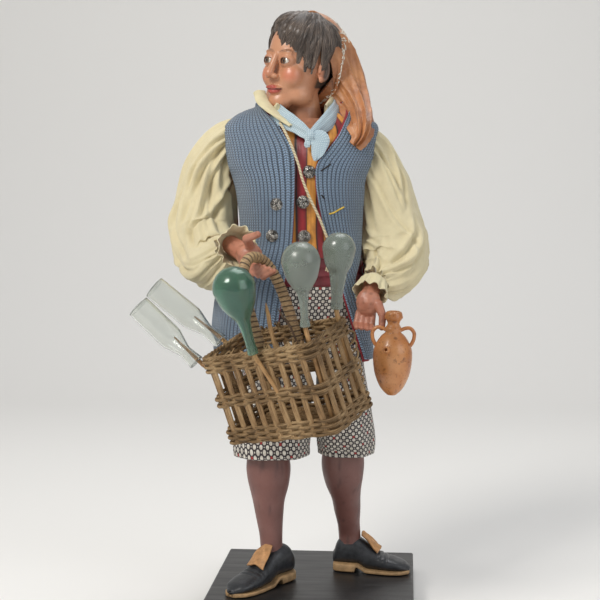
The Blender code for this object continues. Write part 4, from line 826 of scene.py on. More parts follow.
# Height above the board's underside, centre, and half sizes across and along
RIGHT_LEG = {
    "name": "leg_right",
    "hip": -24.0,
    "peg": Vector((-29.0, -9.0, LEG_TOP_Z)),
    "shank": (
        (32.0, -26.4, -13.2, 7.3, 8.0),
        (38.0, -26.9, -13.6, 7.2, 7.8),
        (45.0, -27.3, -13.0, 7.6, 8.4),
        (55.0, -28.2, -11.8, 8.9, 10.0),
        (65.0, -28.9, -10.2, 10.4, 12.0),
        (76.0, -29.0, -9.0, 13.2, 13.8),
        (86.0, -29.2, -8.8, 14.4, 14.2),
        (96.0, -29.4, -9.4, 13.6, 13.6),
        (LEG_TOP_Z, -29.0, -9.0, 13.0, 13.0),
    ),
    "heel": SHOE_RIGHT_HEEL,
    "toe": SHOE_RIGHT_TOE,
}
LEFT_LEG = {
    "name": "leg_left",
    "hip": 14.0,
    "peg": Vector((19.5, 2.0, LEG_TOP_Z)),
    "shank": (
        (32.0, 22.6, 18.2, 7.3, 8.0),
        (38.0, 22.3, 17.8, 7.3, 7.8),
        (45.0, 21.8, 16.4, 7.5, 8.4),
        (55.0, 21.0, 13.6, 8.8, 10.0),
        (65.0, 20.2, 10.6, 9.8, 12.0),
        (76.0, 18.9, 7.6, 12.6, 13.6),
        (86.0, 18.4, 5.8, 14.0, 14.2),
        (96.0, 18.6, 4.0, 13.6, 13.8),
        (LEG_TOP_Z, 19.5, 2.0, 13.0, 13.0),
    ),
    "heel": SHOE_LEFT_HEEL,
    "toe": SHOE_LEFT_TOE,
}
# Share of the shoe's length from the heel, half width, height of the upper
SHOE_SHAPE = (
    (0.015, 0.50, 0.55),
    (0.06, 0.72, 0.80),
    (0.14, 0.84, 0.98),
    (0.26, 0.86, 1.00),
    (0.38, 0.82, 0.86),
    (0.52, 0.90, 0.66),
    (0.66, 1.00, 0.50),
    (0.80, 0.98, 0.40),
    (0.91, 0.78, 0.32),
    (0.985, 0.34, 0.22),
)
# Share of the shoe's length, height above the board and half width along its turned-down tongue
TONGUE = ((0.38, 26.5, 5.0), (0.47, 22.8, 7.2), (0.55, 18.9, 8.2), (0.62, 16.0, 8.6))


def shoe_lift(share):
    """Height of the sole's top above the board along the shoe."""
    heel = min(1.0, max(0.0, (0.46 - share) / 0.14))
    blend = heel * heel * (3 - 2 * heel)
    return GAP + SOLE_THICKNESS + (HEEL_HEIGHT - SOLE_THICKNESS) * blend


LEG_PAINT = (0.150, 0.062, 0.052)


def leg_colour(point, normal):
    dark = 0.5 + 0.5 * hash_noise(point, 9.0)
    streak = hash_noise((point.x * 3, point.y * 3, point.z * 0.5), 9.0)
    colour = mixed(LEG_PAINT, (0.230, 0.105, 0.088), dark * 0.8)
    return mixed(colour, (0.070, 0.036, 0.032), smooth_step(0.25, 0.6, streak) * 0.6)


def shoe_frame(side):
    heel = side["heel"] + Vector((0, 0, BOARD_HEIGHT))
    toe = side["toe"] + Vector((0, 0, BOARD_HEIGHT))
    along = (toe - heel).normalized()
    return heel, toe, along, along.cross(Vector((0, 0, 1))).normalized()


# Creases where the foot bends: shares of the shoe's length, and their depth
VAMP_CREASES = (0.60, 0.65, 0.71)
VAMP_CREASE = 0.9


def shoe_rows(side, count, rows, outer=0.0, sole=False):
    """D-shaped sections across a shoe, from heel to toe, or its sole."""
    heel, toe, along, across = shoe_frame(side)
    rings = []
    for share, width, height in spline(SHOE_SHAPE, rows):
        half = SHOE_HALF_WIDTH * width + outer
        low = shoe_lift(share)
        high = SHOE_HEIGHT * height
        if not sole:
            high -= sum(VAMP_CREASE * math.exp(-(((share - at) / 0.011) ** 2)) for at in VAMP_CREASES)
        else:
            high = low + 0.8
            low = GAP if share < 0.30 else max(GAP, low - SOLE_THICKNESS)
        middle = heel.lerp(toe, share) + Vector((0, 0, (low + high) / 2))
        square = 5.0 if sole else 2.5
        rings.append(oval(middle, across, Vector((0, 0, 1)), half, (high - low) / 2, count, square))
    closed = list(rings)
    bulge = 0.35 if sole else 0.9
    for ring, way, first in ((rings[0], -along, True), (rings[-1], along, False)):
        hub = sum(ring, Vector()) / len(ring)
        for turn in (18, 36, 54, 72):
            a = math.radians(turn)
            shrunk = [hub + (p - hub) * math.cos(a) ** 0.8 + way * (math.sin(a) * bulge) for p in ring]
            closed.insert(0 if first else len(closed), shrunk)
    return closed


# Share of its CAD width that the tongue's leather takes
TONGUE_SHARE = 0.78


def dress_leg(side):
    """Painted stocking leg, dark shoe with a low heel and a tan tongue turned down over it."""
    name = side["name"]
    keys = [(x, y, z, a, b) for z, x, y, a, b in side["shank"]]
    rows = tube_rings(keys, 80, 56, (1, 0, 0))
    shank = cloth_mesh(name, rows, True, True)
    paint(shank, leg_colour)
    piece(name + "_shank", shank, LOOKS["leg"], [name])
    upper = cloth_mesh(name, shoe_rows(side, 72, 90), True, True)
    piece(name + "_shoe", upper, LOOKS["shoe"])
    sole = cloth_mesh(name, shoe_rows(side, 48, 50, 1.0, True), True, True)
    piece(name + "_sole", sole, LOOKS["sole"])
    heel, toe, along, across = shoe_frame(side)
    flap = []
    for i, (share, height, half) in enumerate(spline(TONGUE, 24)):
        middle = heel.lerp(toe, share) + Vector((0, 0, height + 0.3))
        half *= TONGUE_SHARE
        row = []
        for k in range(25):
            t = k / 24.0 * 2 - 1
            sag = -2.2 * t * t * (0.6 + i / 40.0) + 0.35 * math.sin(5 * t + i * 0.4)
            notch = 1.6 * abs(t) ** 2.2 * (i / 23.0) ** 4
            row.append(middle + across * (t * half) + Vector((0, 0, sag)) - along * notch)
        flap.append(row)
    tongue = cloth_mesh(name, flap, False)
    tongue = applied(tongue, ("SOLIDIFY", {"thickness": 1.1 * MM, "offset": 0.0}))
    piece(name + "_tongue", tongue, LOOKS["tan"])


dress_leg(RIGHT_LEG)
dress_leg(LEFT_LEG)


# Trunk: breeches, sash and waistcoat

# Height, centre and half sizes of the clothed trunk
TRUNK = (
    (178.0, -8.5, -1.0, 40.0, 26.5),
    (205.0, -6.5, -2.0, 39.0, 27.0),
    (238.0, -7.5, -3.0, 36.0, 26.5),
    (265.0, -8.0, -3.5, 37.5, 27.0),
    (288.0, -8.5, -2.0, 42.0, 25.5),
    (303.0, -8.5, 0.0, 43.0, 21.0),
    (313.0, -8.0, 0.5, 33.0, 16.5),
    (319.0, -7.5, 0.5, 20.0, 13.5),
)


def trunk_row(z):
    """Centre and half sizes of the trunk at one height, on a smooth line."""
    rows = spline(TRUNK, 60)
    return [float(np.interp(z, rows[:, 0], rows[:, i])) for i in range(1, 5)]


def trunk_rows(low, high, rows, count, grow, square=2.3, push=None):
    """Sections of the clothed trunk, with folds pushed out by the angle and height."""
    rings = []
    for i in range(rows):
        z = low + (high - low) * i / (rows - 1)
        cx, cy, a, b = trunk_row(z)
        ring = []
        for turn in turns(count):
            t = turn + math.pi / 2
            x, y = squared(t, square)
            out = grow + (push(z, t) if push else 0.0)
            ring.append(Vector((cx + x * (a + out), cy + y * (b + out), z)))
        rings.append(ring)
    return rings


def crease(value):
    """A fold with a rounded top and a sharp valley, from -1 to 1."""
    return 1.0 - 2.0 * abs(math.sin(value)) ** 0.7


def breeches_leg_rows(hem_half, hem_depth, hem_at, top, phase):
    """Outer side from the waist down to the hem, then turned in and up inside it."""
    hem = Vector((*hem_at, HEM_Z))
    keys = [
        (*hem, hem_half, hem_depth),
        (hem.x, hem.y, HEM_Z + 8, hem_half + 0.6, hem_depth + 0.6),
        (*hem.lerp(top, 0.4), hem_half, hem_depth + 1.6),
        (*hem.lerp(top, 0.75), hem_half - 2.0, hem_depth + 3.0),
        (*top, hem_half - 3.0, hem_depth + 3.0),
    ]

    def fold(s, t):
        broad = 0.6 * math.sin(6 * (t + 0.6 * s) + phase)
        fine = 0.5 * crease(3.5 * t + 5 * s + phase) * s * (1 - s) * 2
        return broad + fine + 0.5 * noise.noise(round_spot(t, 2, s * 5 + phase))

    outer = tube_rings(keys, 76, 100, (1, 0, 0), 2.2, fold)
    axis = Vector((*hem_at, 0))
    lip = []
    for inset, rise in ((0.5, -0.25), (1.3, 0.1), (1.7, 1.4), (1.8, 7.0), (2.0, HEM_DEPTH - 2.0)):
        ring = []
        for p in outer[0]:
            out = Vector((p.x - axis.x, p.y - axis.y, 0)).normalized()
            ring.append(p - out * inset + Vector((0, 0, rise)))
        lip.insert(0, ring)
    return lip + outer


def dress_breeches():
    right = breeches_leg_rows(24.0, 19.0, (-27.0, -10.0), Vector((-24.0, -3.0, 168.0)), 0.3)
    left = breeches_leg_rows(18.0, 19.0, (20.6, 2.0), Vector((16.0, -2.0, 168.0)), 1.1)

    def slack(z, t):
        return 0.4 * math.sin(7 * t + z / 9.0) + 0.3 * crease(4 * t + z / 12.0)

    seat = trunk_rows(CROTCH_Z + 12, BREECHES_TOP_Z - GAP, 40, 100, -0.3, 2.3, slack)
    bottom = [p.lerp(Vector((-6.0, -2.0, p.z)), 0.08) for p in seat[0]]
    meshes = [cloth_mesh("breeches", rows) for rows in (right, left, [bottom, *seat])]
    cloth = joined("breeches_cloth", meshes)
    piece("breeches_cloth", cloth, LOOKS["breeches"], ["breeches"])


def sash_push(z, t):
    share = (z - BREECHES_TOP_Z) / SASH_HEIGHT
    rolls = 0.9 * crease(z * 0.55 + 1.3 * math.sin(2 * t) + 0.5)
    swell = 0.6 * math.sin(math.pi * min(1.0, max(0.0, share)))
    return 0.2 + rolls * swell + 0.4 * math.sin(11 * t + z / 4.0)


def waistcoat_push(z, t):
    return 0.35 * math.sin(9 * t + z / 11.0) + 0.35 * crease(5 * t + z / 16.0)


# Lowest point of the waistcoat's open throat
THROAT_X = -2.0
THROAT_Z = 298.0


def dress_trunk():
    dress_breeches()
    low = BREECHES_TOP_Z
    sash = cloth_mesh("sash_cloth", trunk_rows(low, low + SASH_HEIGHT - GAP, 34, 160, 0.0, 2.3, sash_push))
    piece("sash_cloth", sash, LOOKS["sash"], ["waist_sash"])
    low += SASH_HEIGHT
    rows = trunk_rows(low, low + WAISTCOAT_HEIGHT, 90, 160, 0.0, 2.3, waistcoat_push)
    coat = cloth_mesh("waistcoat_cloth", rows, True, False, "even")
    bm = bmesh.new()
    bm.from_mesh(coat)
    open_at = []
    for face in bm.faces:
        spot = face.calc_center_median() / MM
        if spot.y < -8.0 and spot.z > THROAT_Z + 0.9 * abs(spot.x - THROAT_X):
            open_at.append(face)
    bmesh.ops.delete(bm, geom=open_at, context="FACES")
    bm.to_mesh(coat)
    bm.free()
    piece("waistcoat_cloth", coat, LOOKS["waistcoat"], ["waistcoat"])


dress_trunk()


# Sleeves

SLEEVE_RIGHT = (
    (-42, 2, 303, 13, 12),
    (-58, 2, 294, 16, 15),
    (-68, 0, 277, 18, 18),
    (-71, -2, 257, 19, 20.5),
    (-71, -6, 238, 22, 22),
    (-66, -16, 226, 20, 20),
    (-60, -30, 220, 17, 19),
    (-53, -41, 226, 12, 13),
    (-49.5, -47, 229.5, 9.0, 9.0),
)
SLEEVE_LEFT = (
    (26, 2, 300, 12, 11),
    (37, 2, 289, 14, 13.5),
    (44.5, 1, 271, 16, 16),
    (48.5, 1, 250, 18.5, 18.5),
    (51.5, -1, 232, 20.5, 21.5),
    (51, -9, 218, 19.5, 20),
    (46, -17, 211, 14.5, 15.5),
    (40.5, -23.5, 208, 9.6, 10),
)
# Depth of the gathers and creases, and the room that an armhole leaves round them
SLEEVE_GATHER = 1.2
SLEEVE_CREASE = 1.0
ARMHOLE_ROOM = SLEEVE_GATHER + SLEEVE_CREASE + 0.9

# Millimetres per radian round a sleeve, and the number of its pinched folds
SLEEVE_ROUND = 23.0
FOLDS = 46


def sleeve_push(lean, phase):
    """The sleeve's gathers and creases, with pinched folds and finer wrinkles between them."""
    own = random.Random(int(phase * 100))
    folds = []
    for k in range(FOLDS):
        s = own.random() ** 0.8 if k % 2 else 1 - own.random() ** 0.9
        t = own.uniform(0, 2 * math.pi)
        reach = own.uniform(0.10, 0.34)
        slope = lean * own.uniform(-0.2, 1.0) + own.uniform(-0.5, 0.5)
        width = own.uniform(1.1, 2.7)
        folds.append((s, t, reach, slope, width, own.uniform(1.4, 3.3) * width / 2.4))

    def push(s, t):
        ends = 0.5 + 0.5 * math.cos(2 * math.pi * s)
        gathers = SLEEVE_GATHER * (0.4 + 0.6 * ends) * math.sin(7 * t + lean * s * 6 + phase)
        creases = SLEEVE_CREASE * math.sin(3 * t + 9 * s + phase) * (1 - ends)
        out = gathers * 0.8 + creases * 0.6 + 0.5 * ends * crease(8.5 * t + 2 * s + phase)
        spot = round_spot(t, 1.1, s * 4.2 + phase)
        out += 1.0 * (0.3 - abs(noise.noise(spot * 1.4))) + 0.35 * noise.noise(spot * 4)
        for at, turn, reach, slope, width, depth in folds:
            u = (s - at) / reach
            if abs(u) >= 1:
                continue
            middle = turn + slope * (s - at) * 4.0
            apart = (t - middle + math.pi) % (2 * math.pi) - math.pi
            d = apart * SLEEVE_ROUND / width
            if abs(d) > 5:
                continue
            fade = math.cos(u * math.pi / 2) ** 0.7
            out += depth * fade * (0.75 * math.exp(-((d - 1.5) ** 2) / 1.6) - 1.15 * math.exp(-d * d))
        return out - 0.3

    return push


def dress_sleeve(name, keys, lean, phase):
    rows = tube_rings(keys, 136, 132, (0, 1, 0), 2.0, sleeve_push(lean, phase))
    mesh = cloth_mesh(name, rows, True, True, "even")
    return piece(name + "_cloth", mesh, LOOKS["shirt"], [name])


dress_sleeve("shirt_sleeve_right", SLEEVE_RIGHT, 1.0, 0.4)
dress_sleeve("shirt_sleeve_left", SLEEVE_LEFT, -1.0, 1.7)


# Share of a cuff's length that is its plain band
CUFF_BAND = 0.3


def dress_cuff(name, start, end, tight, wide, waves):
    """A wrist band and a gathered frill that flares from it, open at its mouth."""
    way = (end - start).normalized()
    side = way.orthogonal().normalized()
    up = way.cross(side)
    rows = []
    reach = (end - start).length
    for i in range(30):
        s = i / 29.0
        if s < CUFF_BAND:
            flare = tight - 0.9 * math.sin(s / CUFF_BAND * math.pi)
        else:
            flare = tight + (wide - tight) * ((s - CUFF_BAND) / (1 - CUFF_BAND)) ** 1.3
        flare -= 2.6 * (1 - smooth_step(0.0, 0.22, s))
        ring = []
        for t in turns(16 * waves):
            frill = 0.85 * s * s * math.sin(waves * t + 1.1 * math.sin(2 * t) + 0.8 * math.sin(3 * t + 1))
            small = 0.35 * s * math.sin(2 * waves * t + 1.0)
            r = flare + frill + small
            back = 0.8 * s * s * math.cos(waves * t + 1.2)
            ring.append(start + way * (reach * s + back) + spun(side, up, t, r))
        rows.append(ring)
    mesh = cloth_mesh(name, rows)
    mesh = applied(mesh, ("SOLIDIFY", {"thickness": 0.45 * MM, "offset": 0.0}))
    piece(name + "_cloth", mesh, LOOKS["collar"], [name])


CUFF_RIGHT_END = WRIST_RIGHT + Vector((4.0, -7.0, 0.0))
CUFF_LEFT_END = WRIST_LEFT + Vector((-1.0, -5.0, -5.0))
dress_cuff("cuff_ruffle_right", WRIST_RIGHT.lerp(ELBOW_RIGHT, 0.07), CUFF_RIGHT_END, 9.0, 12.5, 9)
dress_cuff("cuff_ruffle_left", WRIST_LEFT.lerp(ELBOW_LEFT, 0.14), CUFF_LEFT_END, 9.0, 10.5, 8)


# Knitted vest and its lining

# Room for the lining and both gaps under the vest, with slack for the lining's creases
VEST_EASE = VEST_THICKNESS + LINING_THICKNESS + 2 * GAP + 0.4
# Height, shift to the left, flare in width and depth, and the x of the right and left front edges
VEST = (
    (150.0, -5.6, 8.0, 0.3, -27.0, 37.0),
    (165.0, -5.6, 8.4, 0.5, -24.0, 33.0),
    (186.0, -6.2, 8.4, 0.5, -20.0, 26.0),
    (205.0, -6.0, 6.8, 0.3, -17.0, 20.0),
    (220.0, -3.0, 2.4, 0.0, -14.0, 15.0),
    (234.0, -0.3, 0.2, 0.0, -11.8, 10.5),
    (259.0, 0.0, 0.0, 0.0, -10.2, 5.0),
    (272.0, -0.4, 0.4, 0.0, -9.8, 3.4),
    (281.0, -0.6, 2.8, 0.0, -9.9, 4.0),
    (290.0, -0.8, 3.5, 0.0, -11.5, 10.5),
    (299.0, -1.0, 3.6, 0.0, -16.5, 16.5),
    (308.0, -1.4, 5.8, 0.0, -22.5, 20.5),
    (315.0, -1.2, 6.0, 0.0, -30.0, 23.0),
    (321.5, -0.8, 5.8, 0.0, -34.0, 20.0),
)
VEST_POWER = 2.5
VEST_FLARE_FOLDS = 5
VEST_FLARE = 1.8
VEST_CREASE = 0.35


def vest_row(keys):
    """The vest's section at one height: the trunk's own section with its ease and flare."""
    z, shift, wider, deeper, right, left = keys
    cx, cy, a, b = trunk_row(z)
    return z, cx + shift, cy, a + VEST_EASE + wider, b + VEST_EASE + deeper, right, left


def vest_point(row, t, off):
    """A point of the vest's outer surface, moved by the offset, t from the front edge around the back."""
    z, cx, cy, a, b = row[:5]
    flare = max(0.0, (205.0 - z) / 50.0)
    wave = VEST_FLARE * flare * math.sin(VEST_FLARE_FOLDS * t + 0.6) * (1 - math.cos(t)) / 2
    crease = VEST_CREASE * math.sin(9 * t + z / 17.0)
    a += off + wave + crease
    b += off + wave + crease
    x, y = squared(t, VEST_POWER)
    return Vector((cx + a * x, cy + b * y, z))


def edge_angle(row, x):
    """The angle at which the front of the vest reaches the given x."""
    _, cx, _, a = row[:4]
    share = max(-0.98, min(0.98, (x - cx) / a))
    cosine = math.copysign(abs(share) ** (VEST_POWER / 2), share)
    return -math.acos(max(-1.0, min(1.0, cosine)))


def sleeve_line(keys):
    """Points and radii along a sleeve with the armhole's room, for cutting cloth round it."""
    rows = spline(keys, 160)
    return [(Vector(row[:3]), (row[3] + row[4]) / 2 + ARMHOLE_ROOM) for row in rows]


ARMHOLES = [sleeve_line(SLEEVE_RIGHT), sleeve_line(SLEEVE_LEFT)]


def nearest_on(line, point):
    best = min(line, key=lambda entry: (point - entry[0]).length - entry[1])
    return best[0], best[1], (point - best[0]).length - best[1]


def vest_sheet(name, offset, drop, columns, rows, edge):
    """The vest's surface between its front edges, cut round the sleeves, with its edges turned in."""
    hem = VEST_HEM_Z
    keys = [row for row in VEST if row[0] > hem + 1.0]
    line = spline(VEST, 90)
    start = [float(np.interp(hem, line[:, 0], line[:, i])) for i in range(len(VEST[0]))]
    sections = [vest_row(row) for row in spline([start, *keys], rows)]
    if drop:
        z, *rest = sections[0]
        sections.insert(0, (z - drop, *rest))
    grid = []
    for row in sections:
        left = edge_angle(row, row[6])
        right = edge_angle(row, row[5]) - 2 * math.pi
        span = right + 4 * math.pi - left
        ring = [vest_point(row, left + span * k / (columns - 1), offset) for k in range(columns)]
        grid.append(ring)
    mesh = cloth_mesh(name, grid, False, False, "even")
    bm = bmesh.new()
    bm.from_mesh(mesh)
    bm.verts.ensure_lookup_table()
    inside = set()
    for vertex in bm.verts:
        point = vertex.co / MM
        if point.z < 200.0:
            continue
        for hole in ARMHOLES:
            if nearest_on(hole, point)[2] < 0:
                inside.add(vertex)
    gone = [face for face in bm.faces if all(v in inside for v in face.verts)]
    bmesh.ops.delete(bm, geom=gone, context="FACES")
    loose = [v for v in bm.verts if not v.link_faces]
    bmesh.ops.delete(bm, geom=loose, context="VERTS")
    for vertex in bm.verts:
        if vertex.is_boundary and vertex in inside:
            point = vertex.co / MM
            for hole in ARMHOLES:
                hub, radius, apart = nearest_on(hole, point)
                if apart < 0:
                    point = hub + (point - hub).normalized() * radius
            vertex.co = point * MM
    bm.to_mesh(mesh)
    bm.free()
    mesh.shade_smooth()
    thick = ("SOLIDIFY", {"thickness": edge * MM, "offset": -1.0, "use_rim_only": True})
    return applied(mesh, thick)


def dress_vest():
    knit = vest_sheet("vest_knit", 0.0, 0.0, 220, 120, VEST_THICKNESS)
    piece("vest_knit", knit, LOOKS["knit"], ["knitted_vest"])
    inner = -VEST_THICKNESS - GAP * 1.5
    lining = vest_sheet("vest_inside", inner, LINING_SHOWS, 120, 66, LINING_THICKNESS)
    piece("vest_inside", lining, LOOKS["lining"], ["vest_lining"])


dress_vest()


# Hands

HAND_PAINT = (0.40, 0.155, 0.098)


def hand_colour(point, normal):
    shade = 0.5 + 0.5 * hash_noise(point, 7.0)
    colour = mixed(HAND_PAINT, (0.54, 0.25, 0.160), shade * 0.7)
    grime = hash_noise(point, 3.0)
    return mixed(colour, (0.20, 0.085, 0.045), smooth_step(0.15, 0.6, grime) * 0.55)


def nail(bm, knuckle, tip, radius):
    """A small pad near a fingertip."""
    place = tip + (tip - knuckle).normalized() * (radius * 0.25) + Vector((0, -radius * 0.55, 0.2))
    ball(bm, place, (radius * 0.55, radius * 0.35, radius * 0.6), None, 10)


# Half thickness of a thumb at its root, its bend and its tip
THUMB = (THUMB_RADIUS + 0.4, THUMB_RADIUS - 0.2, THUMB_RADIUS - 0.6)
# Voxel sizes of the carved skins
HAND_VOXEL = 0.48
HEAD_CORE_VOXEL = 1.0
HEAD_VOXEL = 0.58
EYE_SLIT_VOXEL = 0.3


def carved_hand(bm, name):
    mesh = fused(bm, name, HAND_VOXEL, 3)
    paint(mesh, hand_colour)
    piece(name + "_carved", mesh, LOOKS["hand"], [name])


def dress_hands():
    bm = bmesh.new()
    wrist = WRIST_RIGHT
    palm = Vector((-34.5, -63.0, 225.5))
    limb(bm, [wrist - (palm - wrist) * 0.1, wrist, palm], [WRIST_RADIUS - 0.2, WRIST_RADIUS - 0.2, 6.4])
    ball(bm, palm, (8.2, 6.2, 7.7))
    for k in range(4):
        base = palm + Vector((-1.0 + 3.2 * k, -1.5 - 2.2 * k, -4.0 - 1.0 * k))
        knuckle = base + Vector((2.0, -10.0, -4.6))
        tip = base + Vector((9.0, -17.0, -1.0))
        size = FINGER_RADIUS - 0.35
        limb(bm, [base, knuckle, tip], [size + 0.4, size, size - 0.3])
        ball(bm, knuckle, (size + 0.35,) * 3, None, 12)
        nail(bm, knuckle, tip, size)
    thumb = palm + Vector((1.0, -2.0, 5.5))
    bend = thumb + Vector((-1.0, -12.0, 5.0))
    end = thumb + Vector((6.5, -18.0, 7.5))
    limb(bm, [thumb, bend, end], THUMB)
    nail(bm, bend, end, THUMB_RADIUS)
    carved_hand(bm, "hand_right")
    bm = bmesh.new()
    wrist = WRIST_LEFT
    palm = Vector((36.0, -35.0, 196.0))
    limb(bm, [wrist + (wrist - palm) * 0.15, wrist, palm], [WRIST_RADIUS - 0.2, WRIST_RADIUS - 0.2, 5.8])
    ball(bm, palm, (7.8, 4.8, 8.8))
    for k in range(4):
        base = palm + Vector((-6.0 + 3.0 * k, 1.0, -6.0 - 0.4 * k))
        knuckle = base + Vector((-1.5 + 0.3 * k, -2.0, -7.5))
        tip = knuckle + Vector((0.5, -6.5, -1.5))
        size = FINGER_RADIUS - 0.45
        limb(bm, [base, knuckle, tip], [size, size - 0.1, size - 0.3])
        ball(bm, knuckle, (size + 0.3,) * 3, None, 12)
        nail(bm, knuckle, tip, size)
    thumb = palm + Vector((6.0, -2.0, -1.0))
    bend = thumb + Vector((3.0, -3.0, -7.0))
    end = thumb + Vector((2.5, -4.5, -14.0))
    limb(bm, [thumb, bend, end], THUMB)
    carved_hand(bm, "hand_left")


dress_hands()


# Head, hair and eyes


def on_skull(across, up, out):
    """A point above the scalp: degrees to the head's left of the brow, degrees up, and height."""
    a = math.radians(across)
    e = math.radians(up)
    way = Vector((math.sin(a) * math.cos(e), -math.cos(a) * math.cos(e), math.sin(e)))
    reach = Vector((SKULL.x + out, SKULL.y + out - 1.0, SKULL.z + out - 1.0))
    return Vector((way.x * reach.x, 5.5 + way.y * reach.y, 7.5 + way.z * reach.z))


def eye_at(side):
    """Centre of an eyeball in the head's frame."""
    return (side * 7.6, -16.6, 1.0)


SKIN = (0.47, 0.205, 0.108)
HEAD_AIM = Matrix.Rotation(math.radians(HEAD_TURN), 3, "Z")
FACE_TURN = HEAD_AIM @ Matrix.Rotation(math.radians(HEAD_ROLL), 3, "Y")


def in_face(point):
    """A world point, in the head's own frame: x to its left, y to its back, z up."""
    return FACE_TURN.transposed() @ (point - HEAD_AT)


def near(point, centre, sizes):
    return math.sqrt(sum(((p - c) / s) ** 2 for p, c, s in zip(point, centre, sizes)))


def face_colour(point, normal):
    p = in_face(point)
    colour = mixed(SKIN, (0.57, 0.285, 0.160), 0.5 + 0.5 * hash_noise(point, 12.0))
    if point.z < 318.0:
        return mixed(colour, (0.40, 0.165, 0.085), 0.5)
    for side in (-1, 1):
        cheek = near(p, (side * 11.0, -16.5, -7.5), (7.0, 9.0, 6.0))
        colour = mixed(colour, (0.62, 0.16, 0.095), 0.55 * (1 - smooth_step(0.2, 1.1, cheek)))
        brow = near(p, (side * 7.8, -20.0, 7.4 - 0.03 * (abs(p.x) - 8) ** 2), (6.0, 9.0, 1.15))
        hairs = 0.6 + 0.4 * math.sin(p.x * 7.0 + p.z * 5.0)
        colour = mixed(colour, (0.10, 0.055, 0.035), 0.85 * hairs * (1 - smooth_step(0.65, 1.15, brow)))
        lid = near(p, eye_at(side), (EYE_RADIUS + 1.6, 12.0, 3.6))
        colour = mixed(colour, (0.34, 0.15, 0.09), 0.5 * (1 - smooth_step(0.6, 1.0, lid)))
        rim = near(p, eye_at(side), (EYE_RADIUS + 0.3, 12.0, 2.25))
        colour = mixed(colour, (0.09, 0.035, 0.025), 0.8 * (1 - smooth_step(0.85, 1.05, rim)))
        ear = near(p, (side * 20.0, 2.5, -3.0), (3.0, 5.0, 7.5))
        colour = mixed(colour, (0.58, 0.20, 0.12), 0.4 * (1 - smooth_step(0.6, 1.1, ear)))
    tip = near(p, (0.0, -25.5, -7.5), (3.6, 4.0, 3.4))
    colour = mixed(colour, (0.62, 0.20, 0.12), 0.4 * (1 - smooth_step(0.3, 1.1, tip)))
    lips = near(p, (0.0, -21.0, -17.0), (6.2, 5.5, 3.1))
    colour = mixed(colour, (0.42, 0.055, 0.045), 0.9 * (1 - smooth_step(0.75, 1.05, lips)))
    seam = abs(p.z + 17.0 - 0.015 * p.x * p.x)
    if abs(p.x) < 6.2 and p.y < -18.5:
        colour = mixed(colour, (0.10, 0.02, 0.02), 0.9 * (1 - smooth_step(0.25, 0.65, seam)))
    cap = near(p, (0.0, 9.0, 11.5), (SKULL.x + 1.0, SKULL.y - 0.5, SKULL.z - 1.0))
    scalp = 1 - smooth_step(1.0, 1.06, cap) if p.z > 2 else 0.0
    if p.y > 1.0 and p.z > -14.0:
        scalp = max(scalp, smooth_step(1.0, 4.0, p.y) * (1 - smooth_step(0.6, 1.05, abs(p.x) / 30.0)))
    return mixed(colour, (0.055, 0.042, 0.034), scalp)


# Angles round the ear's rim, from behind the lobe over the top to the front
EAR_ARC = [math.radians(-75 + 27 * k) for k in range(11)]


